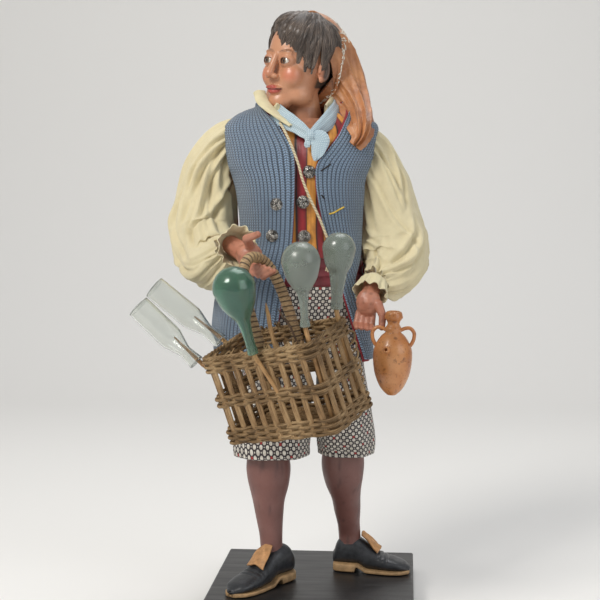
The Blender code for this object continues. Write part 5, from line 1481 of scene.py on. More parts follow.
def dress_head():
    turn = FACE_TURN
    quat = turn.to_quaternion()

    def at(x, y, z):
        return placed((x, y, z), HEAD_AT, turn)

    base = bmesh.new()
    ball(base, at(0, 4, 6), SKULL, quat, 32)
    ball(base, at(0, -4.5, -12), (15.5, 16.5, 15.5), quat, 24)
    ball(base, at(0, -14.0, -24.0), (8.5, 7.5, 6.5), quat)
    for side in (-1, 1):
        ball(base, at(side * 8.5, -13.5, -8.0), (7.5, 7.0, 8.5), quat)
        ball(base, at(side * 9.5, -6.0, -19.5), (7.5, 9.5, 7.0), quat)
    jaw = at(0, 3.0, -16.0)
    throat = [NECK_BASE + Vector((0, 0, -4)), NECK_BASE, jaw]
    limb(base, throat, [NECK_RADIUS + 0.6, NECK_RADIUS + 0.3, NECK_RADIUS - 1])
    ball(base, NECK_BASE + Vector((0, 0, -4)), (23.5, 12.5, 6.6), None, 20)
    ball(base, NECK_BASE + Vector((4.0, -10.0, -5.0)), (15.0, 13.5, 9.5), None, 20)
    core = fused(base, "head_core", HEAD_CORE_VOXEL, 16)
    bm = bmesh.new()
    bm.from_mesh(core)
    bmesh.ops.scale(bm, vec=(1 / MM, 1 / MM, 1 / MM), verts=bm.verts)
    for side in (-1, 1):
        ball(bm, at(side * 6.9, -17.6, 6.2), (4.9, 2.5, 2.0), quat)
        ball(bm, at(*eye_at(side)), [EYE_RADIUS + LID_THICKNESS] * 3, quat, 24)
        ball(bm, at(side * 18.6, 2.5, -3.0), (2.0, 3.9, 6.2), quat)
        rim = [at(side * 20.3, 2.9 + 3.9 * math.cos(a), -2.6 + 6.3 * math.sin(a)) for a in EAR_ARC]
        limb(bm, rim, [1.15] * len(rim))
        ball(bm, at(side * 20.0, 1.4, -8.6), (1.3, 2.0, 2.2), quat, 12)
        ball(bm, at(side * 2.8, -22.6, -8.8), (2.1, 2.5, 1.8), quat, 14)
        ball(bm, at(side * 3.0, -20.2, -15.9), (3.4, 2.6, 1.3), quat, 14)
    limb(bm, [at(0, -20.0, 4.5), at(0, -23.0, -3.0), at(0, -25.0, -7.4)], [2.0, 2.2, 2.8])
    ball(bm, at(0, -20.6, -15.2), (2.6, 2.7, 1.2), quat, 14)
    ball(bm, at(0, -20.2, -18.3), (4.6, 2.8, 1.6), quat, 14)
    ball(bm, at(0, 6.5, 9.5), (SKULL.x + 1.2, SKULL.y - 0.8, SKULL.z - 1.2), quat, 32)
    mesh = fused(bm, "head", HEAD_VOXEL, 3)
    cut = linked("head_blank", mesh)
    cutters = []
    for side in (-1, 1):
        x, y, z = eye_at(side)
        slit = bmesh.new()
        ball(slit, at(x, y - 4.0, z), (EYE_RADIUS - 0.2, 5.4, 1.95), quat, 24)
        ball(slit, at(x, y, z), [EYE_RADIUS + 0.05] * 3, quat, 24)
        tool = linked("slit", fused(slit, "slit", EYE_SLIT_VOXEL, 0))
        step = cut.modifiers.new("slit", "BOOLEAN")
        step.operation = "DIFFERENCE"
        step.solver = "MANIFOLD"
        step.object = tool
        cutters.append(tool)
    graph = bpy.context.evaluated_depsgraph_get()
    graph.update()
    made = bpy.data.meshes.new_from_object(cut.evaluated_get(graph))
    for spent in [cut, *cutters]:
        bpy.data.objects.remove(spent)
    made.shade_smooth()
    paint(made, face_colour)
    piece("head_painted", made, LOOKS["flesh"], ["head"])


# Locks in each layer, with their smallest and largest half thickness
LOCKS = ((40, 1.0, 1.5), (26, 1.4, 2.0), (17, 1.9, 2.7), (22, 0.7, 1.2))
# Points along one lock
LOCK_POINTS = 24
# Degrees round the brow, and how many degrees above its level the locks end there
FRINGE_TURNS = (-104.0, -66.0, -30.0, -5.0, 6.0, 28.0, 46.0, 62.0)
FRINGE_ENDS = (-8.0, 18.0, 36.0, 27.0, 9.0, 3.0, -7.0, -18.0)


def dress_hair():
    """Combed locks, layer on layer, from the crown across the brow and down by both ears."""
    locks = []
    for layer, (count, thin, thick) in enumerate(LOCKS):
        for k in range(count):
            share = (k + rng.uniform(0.1, 0.9)) / count
            start = 70.0 - 140.0 * share + rng.uniform(-6, 6)
            tip = 62.0 - 166.0 * share + rng.uniform(-7, 7)
            drop = float(np.interp(tip, FRINGE_TURNS, FRINGE_ENDS)) + rng.uniform(-9, 6)
            lift = 0.3 + 0.6 * layer + rng.uniform(0, 1.5)
            wave = rng.uniform(-10, 14)
            mid = 0.5 * (start + tip) + wave + 6.0
            keys = [
                (start, 80.0 - 5.0 * layer, 0.2 + lift * 0.15),
                (mid, 60.0, 0.6 + lift * 0.6),
                (0.35 * mid + 0.65 * tip, drop + 0.45 * (60.0 - drop), 1.1 + lift),
                (tip, drop, 0.2 + 0.35 * lift),
            ]
            locks.append((keys, rng.uniform(thin, thick)))
    for side in (-1, 1):
        for k in range(30):
            across = side * (50.0 + 4.2 * k + rng.uniform(-4, 4))
            low = -13.0 - 0.6 * k + rng.uniform(-10, 5)
            if side > 0 and k < 12:
                low -= 6.0
            sway = side * rng.uniform(-8, 6) - 4.0
            over = 1.7 if k < 6 else 2.9 if k < 12 else 0.0
            keys = [
                (across * 0.7, 66.0, 0.7),
                (across * 0.95, 42.0, 1.4 + over * 0.3 + rng.uniform(0, 0.5)),
                (across + sway, 16.0, 1.3 + over * 0.6 + rng.uniform(0, 0.5)),
                (across + sway * 1.6, low, 0.3 + over),
            ]
            locks.append((keys, rng.uniform(0.9, 1.9)))
    meshes = []
    for keys, size in locks:
        places = [placed(on_skull(*key), HEAD_AT, FACE_TURN) for key in keys]
        line = smooth_line(places, LOCK_POINTS)
        shares = [0.06 + i / (LOCK_POINTS - 1.0) * 0.92 for i in range(LOCK_POINTS)]
        radii = [size * (0.10 + 0.95 * math.sin(math.pi * share) ** 0.6) for share in shares]
        phase = rng.uniform(0, 6.28)

        def ridges(i, t, phase=phase):
            return 0.20 * math.sin(3 * t + phase + i * 0.18) + 0.08 * math.sin(5 * t - phase)

        out = (line[8] - HEAD_AT).normalized()
        rows = rod_rows(line, radii, 10, out, 1.9, ridges)
        meshes.append(cloth_mesh("lock", rows, True, True))
    piece("hair_locks", joined("hair_locks", meshes), LOOKS["hair"])


def dress_eyes():
    for name, side in (("eye_right", -1), ("eye_left", 1)):
        centre = placed(eye_at(side), HEAD_AT, FACE_TURN)
        bm = bmesh.new()
        ball(bm, centre, [EYE_RADIUS - 0.08] * 3, None, 48)
        mesh = bm_mesh(bm, name)
        look_way = (FACE_TURN @ Vector((-0.10, -1.0, -0.02))).normalized()

        def eye_colour(point, normal):
            away = math.degrees(math.acos(max(-1.0, min(1.0, (point - centre).normalized().dot(look_way)))))
            colour = mixed((0.70, 0.66, 0.58), (0.60, 0.42, 0.34), smooth_step(35, 70, away))
            if away < 25:
                spoke = 0.5 + 0.5 * hash_noise(((point - centre).normalized() * 9), 1.0)
                colour = mixed((0.085, 0.042, 0.020), (0.19, 0.10, 0.045), spoke)
            ring = smooth_step(22.5, 26.5, away) * (1 - smooth_step(27.0, 30.0, away))
            colour = mixed(colour, (0.02, 0.012, 0.01), ring)
            return mixed((0.004, 0.004, 0.004), colour, smooth_step(11.0, 13.0, away))

        paint(mesh, eye_colour)
        piece(name + "_glass", mesh, LOOKS["eye"], [name])


dress_head()
dress_hair()
dress_eyes()


# Cloth at the neck and on the head


# How far the lower end of the scarf's front edge is set back, and the share of its rows that follow
SCARF_LEAN = Vector((15.0, 11.0, -4.0))
SCARF_LEAN_SHARE = 0.42


def dress_headscarf():
    """A satin kerchief drawn back over the head, its pleats running to the gather at the neck."""
    keys = (
        (-8.5, 0.0, 352.0, 21.0, 29.5),
        (-2.0, 6.0, 350.0, 23.5, 29.0),
        (6.0, 12.0, 344.0, 22.0, 26.0),
        (15.0, 12.5, 334.0, 18.0, 19.5),
        (23.0, 4.5, 322.5, 13.2, 13.0),
        (28.2, -7.0, 312.0, 10.8, 9.2),
        (30.2, -18.0, 303.0, 9.6, 7.2),
        (30.0, -23.5, 297.0, 5.4, 4.4),
        (27.0, -25.5, 292.5, 3.4, 2.8),
    )

    def pleats(s, t):
        slow = (0.25 + 0.9 * s) * math.sin(9 * t + 2.0 * s) * (1 - 0.5 * s)
        rise = smooth_step(0.02, 0.35, s) * (1 - 0.40 * s)
        tail = smooth_step(0.45, 0.8, s)
        sharp = (1.7 + 1.5 * tail) * rise * crease(4.0 * t + 2.2 * s + 0.9 * math.sin(2 * t + 1.5 * s))
        fine = 0.30 * rise * crease(9 * t - 2.5 * s)
        spot = round_spot(t, 1.5, s * 4)
        rumple = 0.7 * noise.noise(spot * 1.4) + 0.3 * noise.noise(spot * 4)
        return slow * 0.8 + sharp + fine + rumple * smooth_step(0.0, 0.12, s) * (1 - 0.5 * s)

    rows = tube_rings(keys, 150, 210, (0.6, -0.8, 0.0), 2.0, pleats)
    for i, row in enumerate(rows):
        early = 1.0 - i / (SCARF_LEAN_SHARE * len(rows))
        if early <= 0:
            break
        high = max(p.z for p in row)
        low = min(p.z for p in row)
        for p in row:
            depth = smooth_step(0.25, 1.0, (high - p.z) / (high - low))
            p += SCARF_LEAN * (early * depth)
    hem = []
    middle = sum(rows[0], Vector()) / len(rows[0])
    for depth, back in ((1.6, 2.4), (1.0, 0.6), (0.35, 0.0)):
        edge = zip(rows[0], rows[2])
        hem.append([p.lerp(middle, depth / 24.0) + (q - p).normalized() * back for p, q in edge])
    cloth = cloth_mesh("headscarf_cloth", hem + rows, True, False, "even")
    made = piece("headscarf_cloth", cloth, LOOKS["scarf"], ["headscarf"])
    stitches = []
    for row_at, count, size in ((24, 64, 0.34), (29, 52, 0.28), (26, 40, 0.3)):
        line = rows[row_at]
        centre = sum(line, Vector()) / len(line)
        for k in range(count):
            a = int(len(line) * (k + rng.uniform(0.0, 0.3)) / count) % len(line)
            b = (a + int(len(line) / count * 0.5) + 1) % len(line)
            p = line[a]
            q = rows[row_at + rng.choice((-4, -2, 0, 2, 4))][b]
            out = (p - centre).normalized()
            stitches.append(([p + out * 0.1, (p + q) / 2 + out * 0.4, q + out * 0.1], size))
    seam = rods("headscarf_seam", stitches, 6)
    piece("headscarf_seam", seam, LOOKS["white_thread"])
    return made


# Upper and outer edge of the collar's front: pixel and distance back of each point
COLLAR_UPPER = ((265, 91, -14), (269, 101, -17), (276, 110, -21), (285, 118, -24.5), (295, 126, -27))
COLLAR_OUTER = (
    (253.6, 93, -15),
    (257, 103, -19.5),
    (264.5, 110, -23),
    (274, 116.5, -26),
    (290, 127, -28.5),
)


def seen_at(u, v, y):
    """The point at a given y that is seen at a pixel, in millimetres."""
    start, way = sight(u, v)
    return tuple(start + way * ((y - start.y) / way.y))


def dress_collar():
    """A turned-down collar of crumpled cotton with one point lifted."""
    keys = (
        (-22.0, -21.0, 315.0, 4.4, 1.3),
        (-26.0, -10.0, 320.5, 5.0, 1.4),
        (-24.5, 4.0, 324.0, 5.4, 1.4),
        (-12.0, 16.0, 326.0, 5.4, 1.4),
        (4.0, 12.0, 325.0, 5.2, 1.4),
        (11.0, 0.0, 321.5, 4.8, 1.4),
        (8.0, -12.0, 316.0, 3.0, 1.2),
    )

    def fold(s, t):
        return 0.25 * math.sin(14 * s + 3 * t) + 0.35 * noise.noise(round_spot(t, 1, s * 16))

    band = cloth_mesh("collar", tube_rings(keys, 100, 40, (0, 0, 1), 3.2, fold), True, True)
    upper = smooth_line([seen_at(*spot) for spot in COLLAR_UPPER], 70)
    outer = smooth_line([seen_at(*spot) for spot in COLLAR_OUTER], 70)
    rows = []
    for k in range(15):
        share = k / 14.0
        row = []
        for i, (a, b) in enumerate(zip(upper, outer)):
            lift = 1.5 * math.sin(math.pi * share) + 0.3 * math.sin(i * 0.35 + 3 * share)
            row.append(a.lerp(b, share) + Vector((-0.5, -0.8, 0.5)) * lift)
        rows.append(row)
    wing = cloth_mesh("wing", rows, False)
    wing = applied(wing, ("SOLIDIFY", {"thickness": 0.8 * MM, "offset": 0.0}))
    cloth = joined("collar_cloth", [band, wing])
    piece("collar_cloth", cloth, LOOKS["collar"], ["shirt_collar"])


def dress_neckerchief():
    """A rolled kerchief round the neck, knotted in front with two short tails."""
    knot = Vector((-0.5, -29.5, 298.5))
    around = (
        (*knot, 3.0, 2.0),
        (-12.0, -27.0, 306.5, 4.8, 1.5),
        (-24.0, -18.0, 314.5, 5.8, 1.5),
        (-29.0, -3.0, 319.5, 5.8, 1.5),
        (-24.0, 12.0, 325.0, 5.0, 1.5),
        (-7.0, 20.5, 328.5, 5.0, 1.5),
        (10.0, 12.0, 325.0, 5.0, 1.5),
        (15.0, -1.0, 318.5, 5.8, 1.5),
        (12.0, -16.0, 311.0, 6.3, 1.5),
        (*knot, 3.2, 2.0),
    )

    def roll(s, t):
        ridge = 0.45 * crease(2.5 * t + 4 * s) + 0.3 * math.sin(5 * t + 13 * s)
        return ridge + 0.35 * noise.noise(round_spot(t, 1, s * 22))

    meshes = [cloth_mesh("band", tube_rings(around, 170, 44, (0, 0, 1), 2.4, roll))]
    tails = (
        (
            (0.5, -29.6, 299.5, 3.4, 1.2),
            (5.2, -30.4, 296.2, 6.6, 0.9),
            (4.8, -31.2, 290.6, 5.0, 0.8),
            (3.4, -32.0, 286.2, 2.8, 0.7),
            (2.4, -32.5, 283.2, 0.6, 0.5),
        ),
        ((*knot, 2.0, 1.0), (-2.2, -31.2, 294.5, 2.0, 0.8), (-2.0, -31.8, 291.5, 1.2, 0.6)),
    )

    def flutter(s, t):
        return 0.45 * crease(2 * t + 4 * s)

    for tail in tails:
        meshes.append(cloth_mesh("tail", tube_rings(tail, 36, 32, (1, 0, 0), 2.4, flutter), True, True))
    bm = bmesh.new()
    ball(bm, knot, (3.9, 3.0, 3.7), None, 40)
    for vertex in bm.verts:
        way = (vertex.co - knot).normalized()
        wrinkle = 0.45 * crease(2.2 * math.atan2(way.z, way.x) + 3 * way.y)
        vertex.co += way * (wrinkle + 0.3 * noise.noise(way * 3))
    lump = bm_mesh(bm, "knot")
    layer = lump.uv_layers.new(name="cloth")
    for loop, uv in zip(lump.loops, layer.data):
        spot = lump.vertices[loop.vertex_index].co / MM
        uv.uv = (spot.x, spot.z)
    meshes.append(lump)
    cloth = joined("neckerchief_cloth", meshes)
    return piece("neckerchief_cloth", cloth, LOOKS["kerchief"], ["neckerchief"])


scarf = dress_headscarf()
dress_collar()
kerchief = dress_neckerchief()


# Buttons and thread marks


def filigree(name, centre, radius, thick):
    """A domed button of beads and wire rings."""
    bm = bmesh.new()
    ball(bm, centre, (radius * 0.86, thick * 0.36, radius * 0.86), None, 32)
    front = Vector((0, -1, 0))
    for count, ring, size, lift in ((14, 0.86, 0.085, 0.15), (9, 0.56, 0.11, 0.34), (5, 0.28, 0.10, 0.44)):
        for a in turns(count):
            spot = centre + Vector((math.cos(a), 0, math.sin(a))) * (radius * ring) + front * (thick * lift)
            ball(bm, spot, (radius * size * 1.3,) * 3, None, 8)
    ball(bm, centre + front * (thick * 0.42), (radius * 0.16,) * 3, None, 10)
    mesh = bm_mesh(bm, name)
    wires = []
    for ring, size, lift in ((0.95, 0.07, 0.02), (0.72, 0.05, 0.27), (0.42, 0.045, 0.40)):
        line = []
        for k in range(49):
            a = 2 * math.pi * k / 48
            wobble = 0.03 * radius * math.sin(24 * a)
            spot = Vector((math.cos(a), 0, math.sin(a))) * (radius * ring + wobble)
            line.append(centre + spot + front * (thick * lift))
        wires.append((line, radius * size))
    rings = rods("wire", wires, 6, False)
    return joined(name, [mesh, rings])


# Name, distance in front of the trunk, radius, and x and z of each button
BUTTONS = (
    ("waistcoat_button", 1.2, BUTTON_RADIUS, ((-1.1, 276.5), (-4.7, 257.8), (-4.1, 236.3))),
    ("vest_button", 3.6, VEST_BUTTON_RADIUS, ((-21.2, 256.4), (-24.0, 236.9))),
)


def dress_buttons():
    for kind, out, radius, places in BUTTONS:
        for i, (x, z) in enumerate(places):
            _, cy, _, b = trunk_row(z)
            name = "%s_%d" % (kind, i + 1)
            mesh = filigree(name, Vector((x, cy - b - out, z)), radius, BUTTON_THICKNESS * 0.9)
            piece(name + "_silver", mesh, LOOKS["button"], [name])


dress_buttons()


# Basket


def basket_turn():
    return Euler([math.radians(angle) for angle in BASKET_TURN]).to_matrix()


def in_basket(u, v, w):
    """A point of the basket's frame: along, across and up from the rim's centre."""
    return placed((u, v, w), BASKET_AT, basket_turn())


def stake_places():
    """Middle of each stake in the wall, and the side that it faces."""
    half_long = BASKET_LENGTH / 2 - BASKET_WALL / 2
    half_wide = BASKET_WIDTH / 2 - BASKET_WALL / 2
    places = []
    for k in range(STAKES_ALONG):
        u = (2 * half_long - BASKET_CORNER) * ((k + 0.5) / STAKES_ALONG - 0.5)
        places.append((u, -half_wide, 0))
        places.append((u, half_wide, 0))
    for k in range(STAKES_ACROSS):
        v = (2 * half_wide - BASKET_CORNER) * ((k + 0.5) / STAKES_ACROSS - 0.5)
        places.append((-half_long, v, 1))
        places.append((half_long, v, 1))
    return places


# Along, across and up in the basket's frame: from the front foot over to the back foot
HANDLE_ROUTE = (
    (2.0, -1.0, -20.0),
    (2.0, -1.0, 0.0),
    (0.5, -0.85, 22.0),
    (0.0, -0.62, 38.0),
    (0.0, -0.15, 47.0),
    (0.0, 0.45, 47.5),
    (0.0, 1.02, 40.0),
    (1.5, 1.22, 26.0),
    (4.0, 1.1, 10.0),
    (5.0, 1.0, -2.0),
    (5.0, 1.0, -20.0),
)
HANDLE_TURNS = 33


def handle_path():
    """The handle's middle line: its feet stand against the inside of both long walls."""
    reach = BASKET_WIDTH / 2 - BASKET_WALL - HANDLE_RADIUS - GAP
    keys = [in_basket(u, share * reach, w) for u, share, w in HANDLE_ROUTE]
    return smooth_line(keys, HANDLE_TURNS)


# Half thickness of a cane, and how far it passes before and behind the stakes
CANE_RADIUS = 1.12
WEAVE_SWING = 0.78


def wall_loop(inset, count):
    """Points round the wall with the outward way, the phase in stakes and the running length."""
    half_long = BASKET_LENGTH / 2 - inset
    half_wide = BASKET_WIDTH / 2 - inset
    corner = BASKET_CORNER - inset * 0.5
    straight_long = 2 * (half_long - corner)
    straight_wide = 2 * (half_wide - corner)
    arc = math.pi / 2 * corner
    legs = [straight_long, arc, straight_wide, arc] * 2
    total = sum(legs)
    anchors = [(0.0, 0.0)]
    run = 0.0
    phase = 0.0
    for index, leg in enumerate(legs):
        if index % 2 == 0:
            stakes = STAKES_ALONG if index % 4 == 0 else STAKES_ACROSS
            phase += stakes
        run += leg
        anchors.append((run, phase))
    runs, phases = zip(*anchors)
    hubs = ((1, -1), (1, 1), (-1, 1), (-1, -1))
    ways = ((1, 0), (0, 1), (-1, 0), (0, -1))
    outs = ((0, -1), (1, 0), (0, 1), (-1, 0))
    points = []
    for k in range(count):
        here = total * k / count
        left = here
        index = 0
        while left >= legs[index]:
            left -= legs[index]
            index += 1
        side = index // 2
        hub = (hubs[side][0] * (half_long - corner), hubs[side][1] * (half_wide - corner))
        if index % 2:
            a = math.atan2(outs[side][1], outs[side][0]) + left / legs[index] * math.pi / 2
            out = (math.cos(a), math.sin(a))
            spot = (hub[0] + corner * out[0], hub[1] + corner * out[1])
        else:
            out = outs[side]
            back = legs[index] - left
            way = ways[side]
            spot = (hub[0] + corner * out[0] - way[0] * back, hub[1] + corner * out[1] - way[1] * back)
        points.append((spot, out, float(np.interp(here, runs, phases)), here))
    return points


def weave_band(low, high, rows):
    """Rows of canes that pass before and behind the stakes by turns."""
    paths = []
    pitch = (high - low) / rows
    for row in range(rows):
        w = low + pitch * (row + 0.5)
        line = []
        sag = rng.uniform(0, 6.28)
        for (u, v), (ox, oy), phase, run in wall_loop(BASKET_WALL / 2, 290):
            swing = WEAVE_SWING * math.sin(math.pi * (phase + 0.5 + row))
            swing = math.copysign(min(WEAVE_SWING, abs(swing) * 1.25), swing)
            lift = 0.18 * math.sin(run / 9.0 + sag) + 0.12 * math.sin(run / 3.1 + sag)
            line.append(in_basket(u + ox * swing, v + oy * swing, w + lift))
        line.append(line[0])
        size = min(CANE_RADIUS, pitch * 0.60) * rng.uniform(0.90, 1.06)
        paths.append((line, size))
    return paths


def rope_round(w, inset, radius, twist, phase):
    """One strand of a rope of cane laid round the wall."""
    line = []
    for (u, v), (ox, oy), _, run in wall_loop(inset, 340):
        a = twist * run + phase
        out = math.cos(a) * radius
        line.append(in_basket(u + ox * out, v + oy * out, w + math.sin(a) * radius))
    line.append(line[0])
    return line


def dress_basket():
    floor = -BASKET_DEPTH
    middle = -BASKET_DEPTH / 2
    canes = weave_band(-RIM_BAND - 1.4, -1.9, 5)
    canes += weave_band(middle - MIDDLE_BAND / 2 - 1.0, middle + MIDDLE_BAND / 2 + 0.8, 4)
    canes += weave_band(floor + 0.2, floor + BOTTOM_BAND + 1.8, 6)
    for strand in range(3):
        canes.append((rope_round(-1.35, BASKET_WALL / 2, 0.62, 0.62, strand * 2.094), 0.78))
    weave = rods("basket_weave", canes, 8, False)
    piece("basket_weave", weave, LOOKS["wicker"], ["basket"])
    stakes = []
    for u, v, side in stake_places():
        low = floor + 1.2
        high = -2.0
        lean = rng.uniform(-0.5, 0.5)
        line = []
        for i in range(16):
            s = i / 15.0
            drift = lean * (s - 0.5) + 0.25 * math.sin(s * 5 + u)
            spot = (u + drift, v) if side == 0 else (u, v + drift)
            line.append(in_basket(*spot, low + (high - low) * s))
        face = basket_turn().col[0 if side == 0 else 1]
        size = STAKE_WIDTH / 2 * rng.uniform(0.94, 1.08)
        stakes.append(cloth_mesh("stake", rod_rows(line, size, 12, face, 0.42), True, True))
    for k in range(15):
        u = (BASKET_LENGTH - 8.0) * (k / 14.0 - 0.5)
        line = []
        for i in range(24):
            v = (BASKET_WIDTH - 5.0) * (i / 23.0 - 0.5)
            line.append(in_basket(u, v, floor + 2.2 + 0.45 * math.sin(i * 1.1 + k * math.pi)))
        rows = rod_rows(line, 1.5, 8, basket_turn().col[0], 0.5)
        stakes.append(cloth_mesh("floor_cane", rows, True, True))
    for k in range(22):
        v = (BASKET_WIDTH - 6.0) * (k / 21.0 - 0.5)
        line = []
        for i in range(44):
            u = (BASKET_LENGTH - 6.0) * (i / 43.0 - 0.5)
            line.append(in_basket(u, v, floor + 2.2 + 0.55 * math.sin(i * 0.95 + k * math.pi)))
        stakes.append(cloth_mesh("floor_cane", rod_rows(line, 0.85, 6), True, True))
    piece("basket_stakes", joined("basket_stakes", stakes), LOOKS["cane"])
    tangle = []
    for k in range(7):
        start = Vector((BASKET_LENGTH / 2 - 1.5 - 0.7 * k, BASKET_WIDTH / 2 - 3.0, -9.0 - 5.6 * k))
        keys = [
            tuple(start),
            tuple(start + Vector((1.6, 2.0, -2.5 + rng.uniform(-1, 1)))),
            tuple(start + Vector((2.2, -1.5, -5.0 + rng.uniform(-1, 1)))),
            tuple(start + Vector((-0.5, -5.0, -7.5))),
        ]
        line = [in_basket(*row) for row in spline(keys, 24)]
        tangle.append((line, rng.uniform(0.45, 0.7)))
    for k in range(34):
        u = rng.uniform(-0.5, 0.5) * (BASKET_LENGTH - 12.0)
        v = rng.choice((-1, -1, 1)) * (BASKET_WIDTH / 2 - 2.2)
        lean = rng.uniform(-5.0, 5.0)
        rise = rng.uniform(1.0, 4.6)
        tip = (u + lean, v * rng.uniform(0.86, 1.0), rise - 1.0)
        keys = [(u, v, -5.0), (u + lean * 0.4, v * 0.99, -1.0), tip]
        line = [in_basket(*row) for row in spline(keys, 8)]
        tangle.append((line, rng.uniform(0.4, 0.85)))
    piece("basket_ends", rods("basket_ends", tangle, 8), LOOKS["wicker"])


def dress_handle():
    """A bundle of canes bound with a flat strip, seen as close turns of light and dark: the dark between
    the turns is painted shade in the grooves.
    """
    line = smooth_line(handle_path(), 440)
    run = lengths(np.array([[tuple(p)] for p in line]))[:, 0]

    def wrap_ridge(i, t):
        turn = run[i] / 3.1 + t / (2 * math.pi)
        edge = abs((turn % 1.0) - 0.5) * 2
        return 0.10 * (1 - edge ** 4) - 0.05

    rows = rod_rows(line, HANDLE_RADIUS - 0.15, 18, basket_turn().col[0], 1.0, wrap_ridge)
    cane = cloth_mesh("handle_wrapped", rows, True, True)
    look = Look("wrapped_cane", (0.4, 0.26, 0.12), 0.55)
    x, y, _ = look.axes(look.coords("UV"))
    around = look.math("DIVIDE", x, 2 * math.pi * HANDLE_RADIUS)
    turn = look.math("FRACT", look.add(look.math("DIVIDE", y, 3.1), around))
    fibre = look.noise(1.4, 4.0, 0.65, look.stretched(look.coords("UV"), (0.3, 1.8, 1.0)))
    cloud = look.noise(60.0, 3.0)
    pale = look.blend(look.fit(fibre, 0.35, 0.65), (0.20, 0.11, 0.045), (0.56, 0.39, 0.20))
    apart = look.math("ABSOLUTE", look.math("SUBTRACT", turn, 0.5))
    # Painted shade: near black in the grooves between the turns of the strip, where the wrap ridge dips.
    shade = look.blend(look.fit(apart, 0.29, 0.43), pale, (0.045, 0.022, 0.010))
    shade = look.blend(look.fit(cloud, 0.45, 0.7, 0.0, 0.5), shade, (0.13, 0.070, 0.030))
    look.colour(shade)
    look.bump(fibre, 0.2, 0.5)
    piece("handle_wrapped", cane, look.made, ["basket_handle"])


dress_basket()
dress_handle()


# Glassware, rods and jug


def lathe(name, profile, origin, way, count=64):
    """A turned surface from radius and height pairs, stood along a direction."""
    turn = Vector(way).to_track_quat("Z", "Y").to_matrix()
    rows = []
    for r, h in profile:
        ring = []
        r = max(r, 0.001)
        for t in turns(count):
            ring.append(Vector(origin) + turn @ Vector((r * math.cos(t), r * math.sin(t), h)))
        rows.append(ring)
    mesh = cloth_mesh(name, rows)
    bm = bmesh.new()
    bm.from_mesh(mesh)
    bmesh.ops.remove_doubles(bm, verts=bm.verts, dist=0.000004)
    bmesh.ops.recalc_face_normals(bm, faces=bm.faces)
    bm.to_mesh(mesh)
    bm.free()
    mesh.shade_smooth()
    return mesh


def walled(outer, wall, tip=0.25):
    """The outer line, then a round lip, then the line of the inside at an even thickness."""
    line = np.array(outer)
    way = np.gradient(line, axis=0)
    way /= np.linalg.norm(way, axis=1)[:, None]
    inward = np.stack([way[:, 1], -way[:, 0]], axis=1)
    inner = line + inward * wall
    inner[:, 0] = np.maximum(inner[:, 0], 0.0)
    inner[0] = (0.0, line[0, 1] - wall)
    end = line[-1]
    lip = [(end[0] - wall * 0.25, end[1] - tip), (end[0] - wall * 0.75, end[1] - tip)]
    return [tuple(p) for p in line] + lip + [tuple(p) for p in inner[::-1]]


def flask_outline(bulb, length, neck, lip):
    points = [(0.0, length), (bulb * 0.25, length - bulb * 0.03)]
    for angle in (62, 46, 30, 12, -5):
        a = math.radians(angle)
        points.append((bulb * math.cos(a), length - bulb + bulb * math.sin(a)))
    points += [(bulb * 0.82, length * 0.59), (bulb * 0.55, length * 0.475), (neck * 1.35, length * 0.38)]
    points += [(neck, length * 0.2), (neck * 1.0, length * 0.10), (lip, 1.0), (lip, 0.35)]
    return spline(points, 60)


def bottle_outline(body, length, waist, lip):
    points = [(0.0, length), (body * 0.5, length), (body * 0.92, length), (body, length - 1.5)]
    points += [(body, length * 0.75), (body, length * 0.46), (body * 0.86, length * 0.37)]
    points += [(waist, length * 0.22), (waist, length * 0.15), (lip, 1.2), (lip - 0.1, 0.4)]
    return spline(points, 60)


# Mouth in the basket's frame, way up in the figure's frame, length, half sizes and the stick's foot
FLASKS = (
    (
        "flask_green", (4.3, -27.7, 0.0), (-0.226, -0.284, 0.932),
        52.8, (12.1, 2.9, 3.2), (8.5, -21.0, -30.0),
    ),
    (
        "flask_grey_middle", (37.5, -17.8, 8.3), (-0.055, -0.158, 0.986),
        48.0, (10.8, 2.3, 3.0), (33.8, -15.0, -51.0),
    ),
    (
        "flask_grey_right", (37.5, 17.5, 6.3), (0.046, -0.17, 0.984),
        44.8, (9.5, 3.4, 3.6), (33.5, 15.5, -51.0),
    ),
)
BOTTLES = (
    (
        "bottle_clear_upper", (-48.8, 12.8, -1.6), (-0.784, 0.049, 0.619),
        53.5, (7.5, 4.1, 4.8), (-33.0, 14.0, -14.0),
    ),
    (
        "bottle_clear_lower", (-51.8, -11.4, -5.8), (-0.728, 0.041, 0.684),
        49.6, (7.5, 4.1, 4.8), (-33.0, -9.0, -17.0),
    ),
)
# Foot, place at the rim and tip in the basket's frame, half thickness and look of the rods with no flask
BARE_RODS = (
    ("stick_bare", ((11.0, -16.3, -52.8), (13.0, -17.5, 1.4), (17.3, -19.0, 25.5)), 1.2, "wood"),
    ("twig_dark", ((26.5, -12.0, -52.9), (25.6, -14.0, 2.9), (24.7, -19.7, 21.6)), 0.65, "bark"),
)

GLASS_LOOKS = {
    "flask_green": ("green_glass", "green_glass"),
    "flask_grey_middle": ("grey_glass", "grey_green_glass"),
    "flask_grey_right": ("grey_glass", "grey_green_glass"),
    "bottle_clear_upper": ("clear_glass", "clear_glass"),
    "bottle_clear_lower": ("clear_glass", "clear_glass"),
}


def rod_mesh(name, keys, radii, knots):
    """A peeled rod with a slight waver and a few knots."""
    rows = spline([(*key, r) for key, r in zip(keys, radii)], 60)
    line = [Vector(row[:3]) for row in rows]
    swell = [row[3] * (1 + 0.10 * noise.noise(Vector((i * 0.13, knots, 0)))) for i, row in enumerate(rows)]
    return cloth_mesh(name, rod_rows(line, swell, 12), True, True)


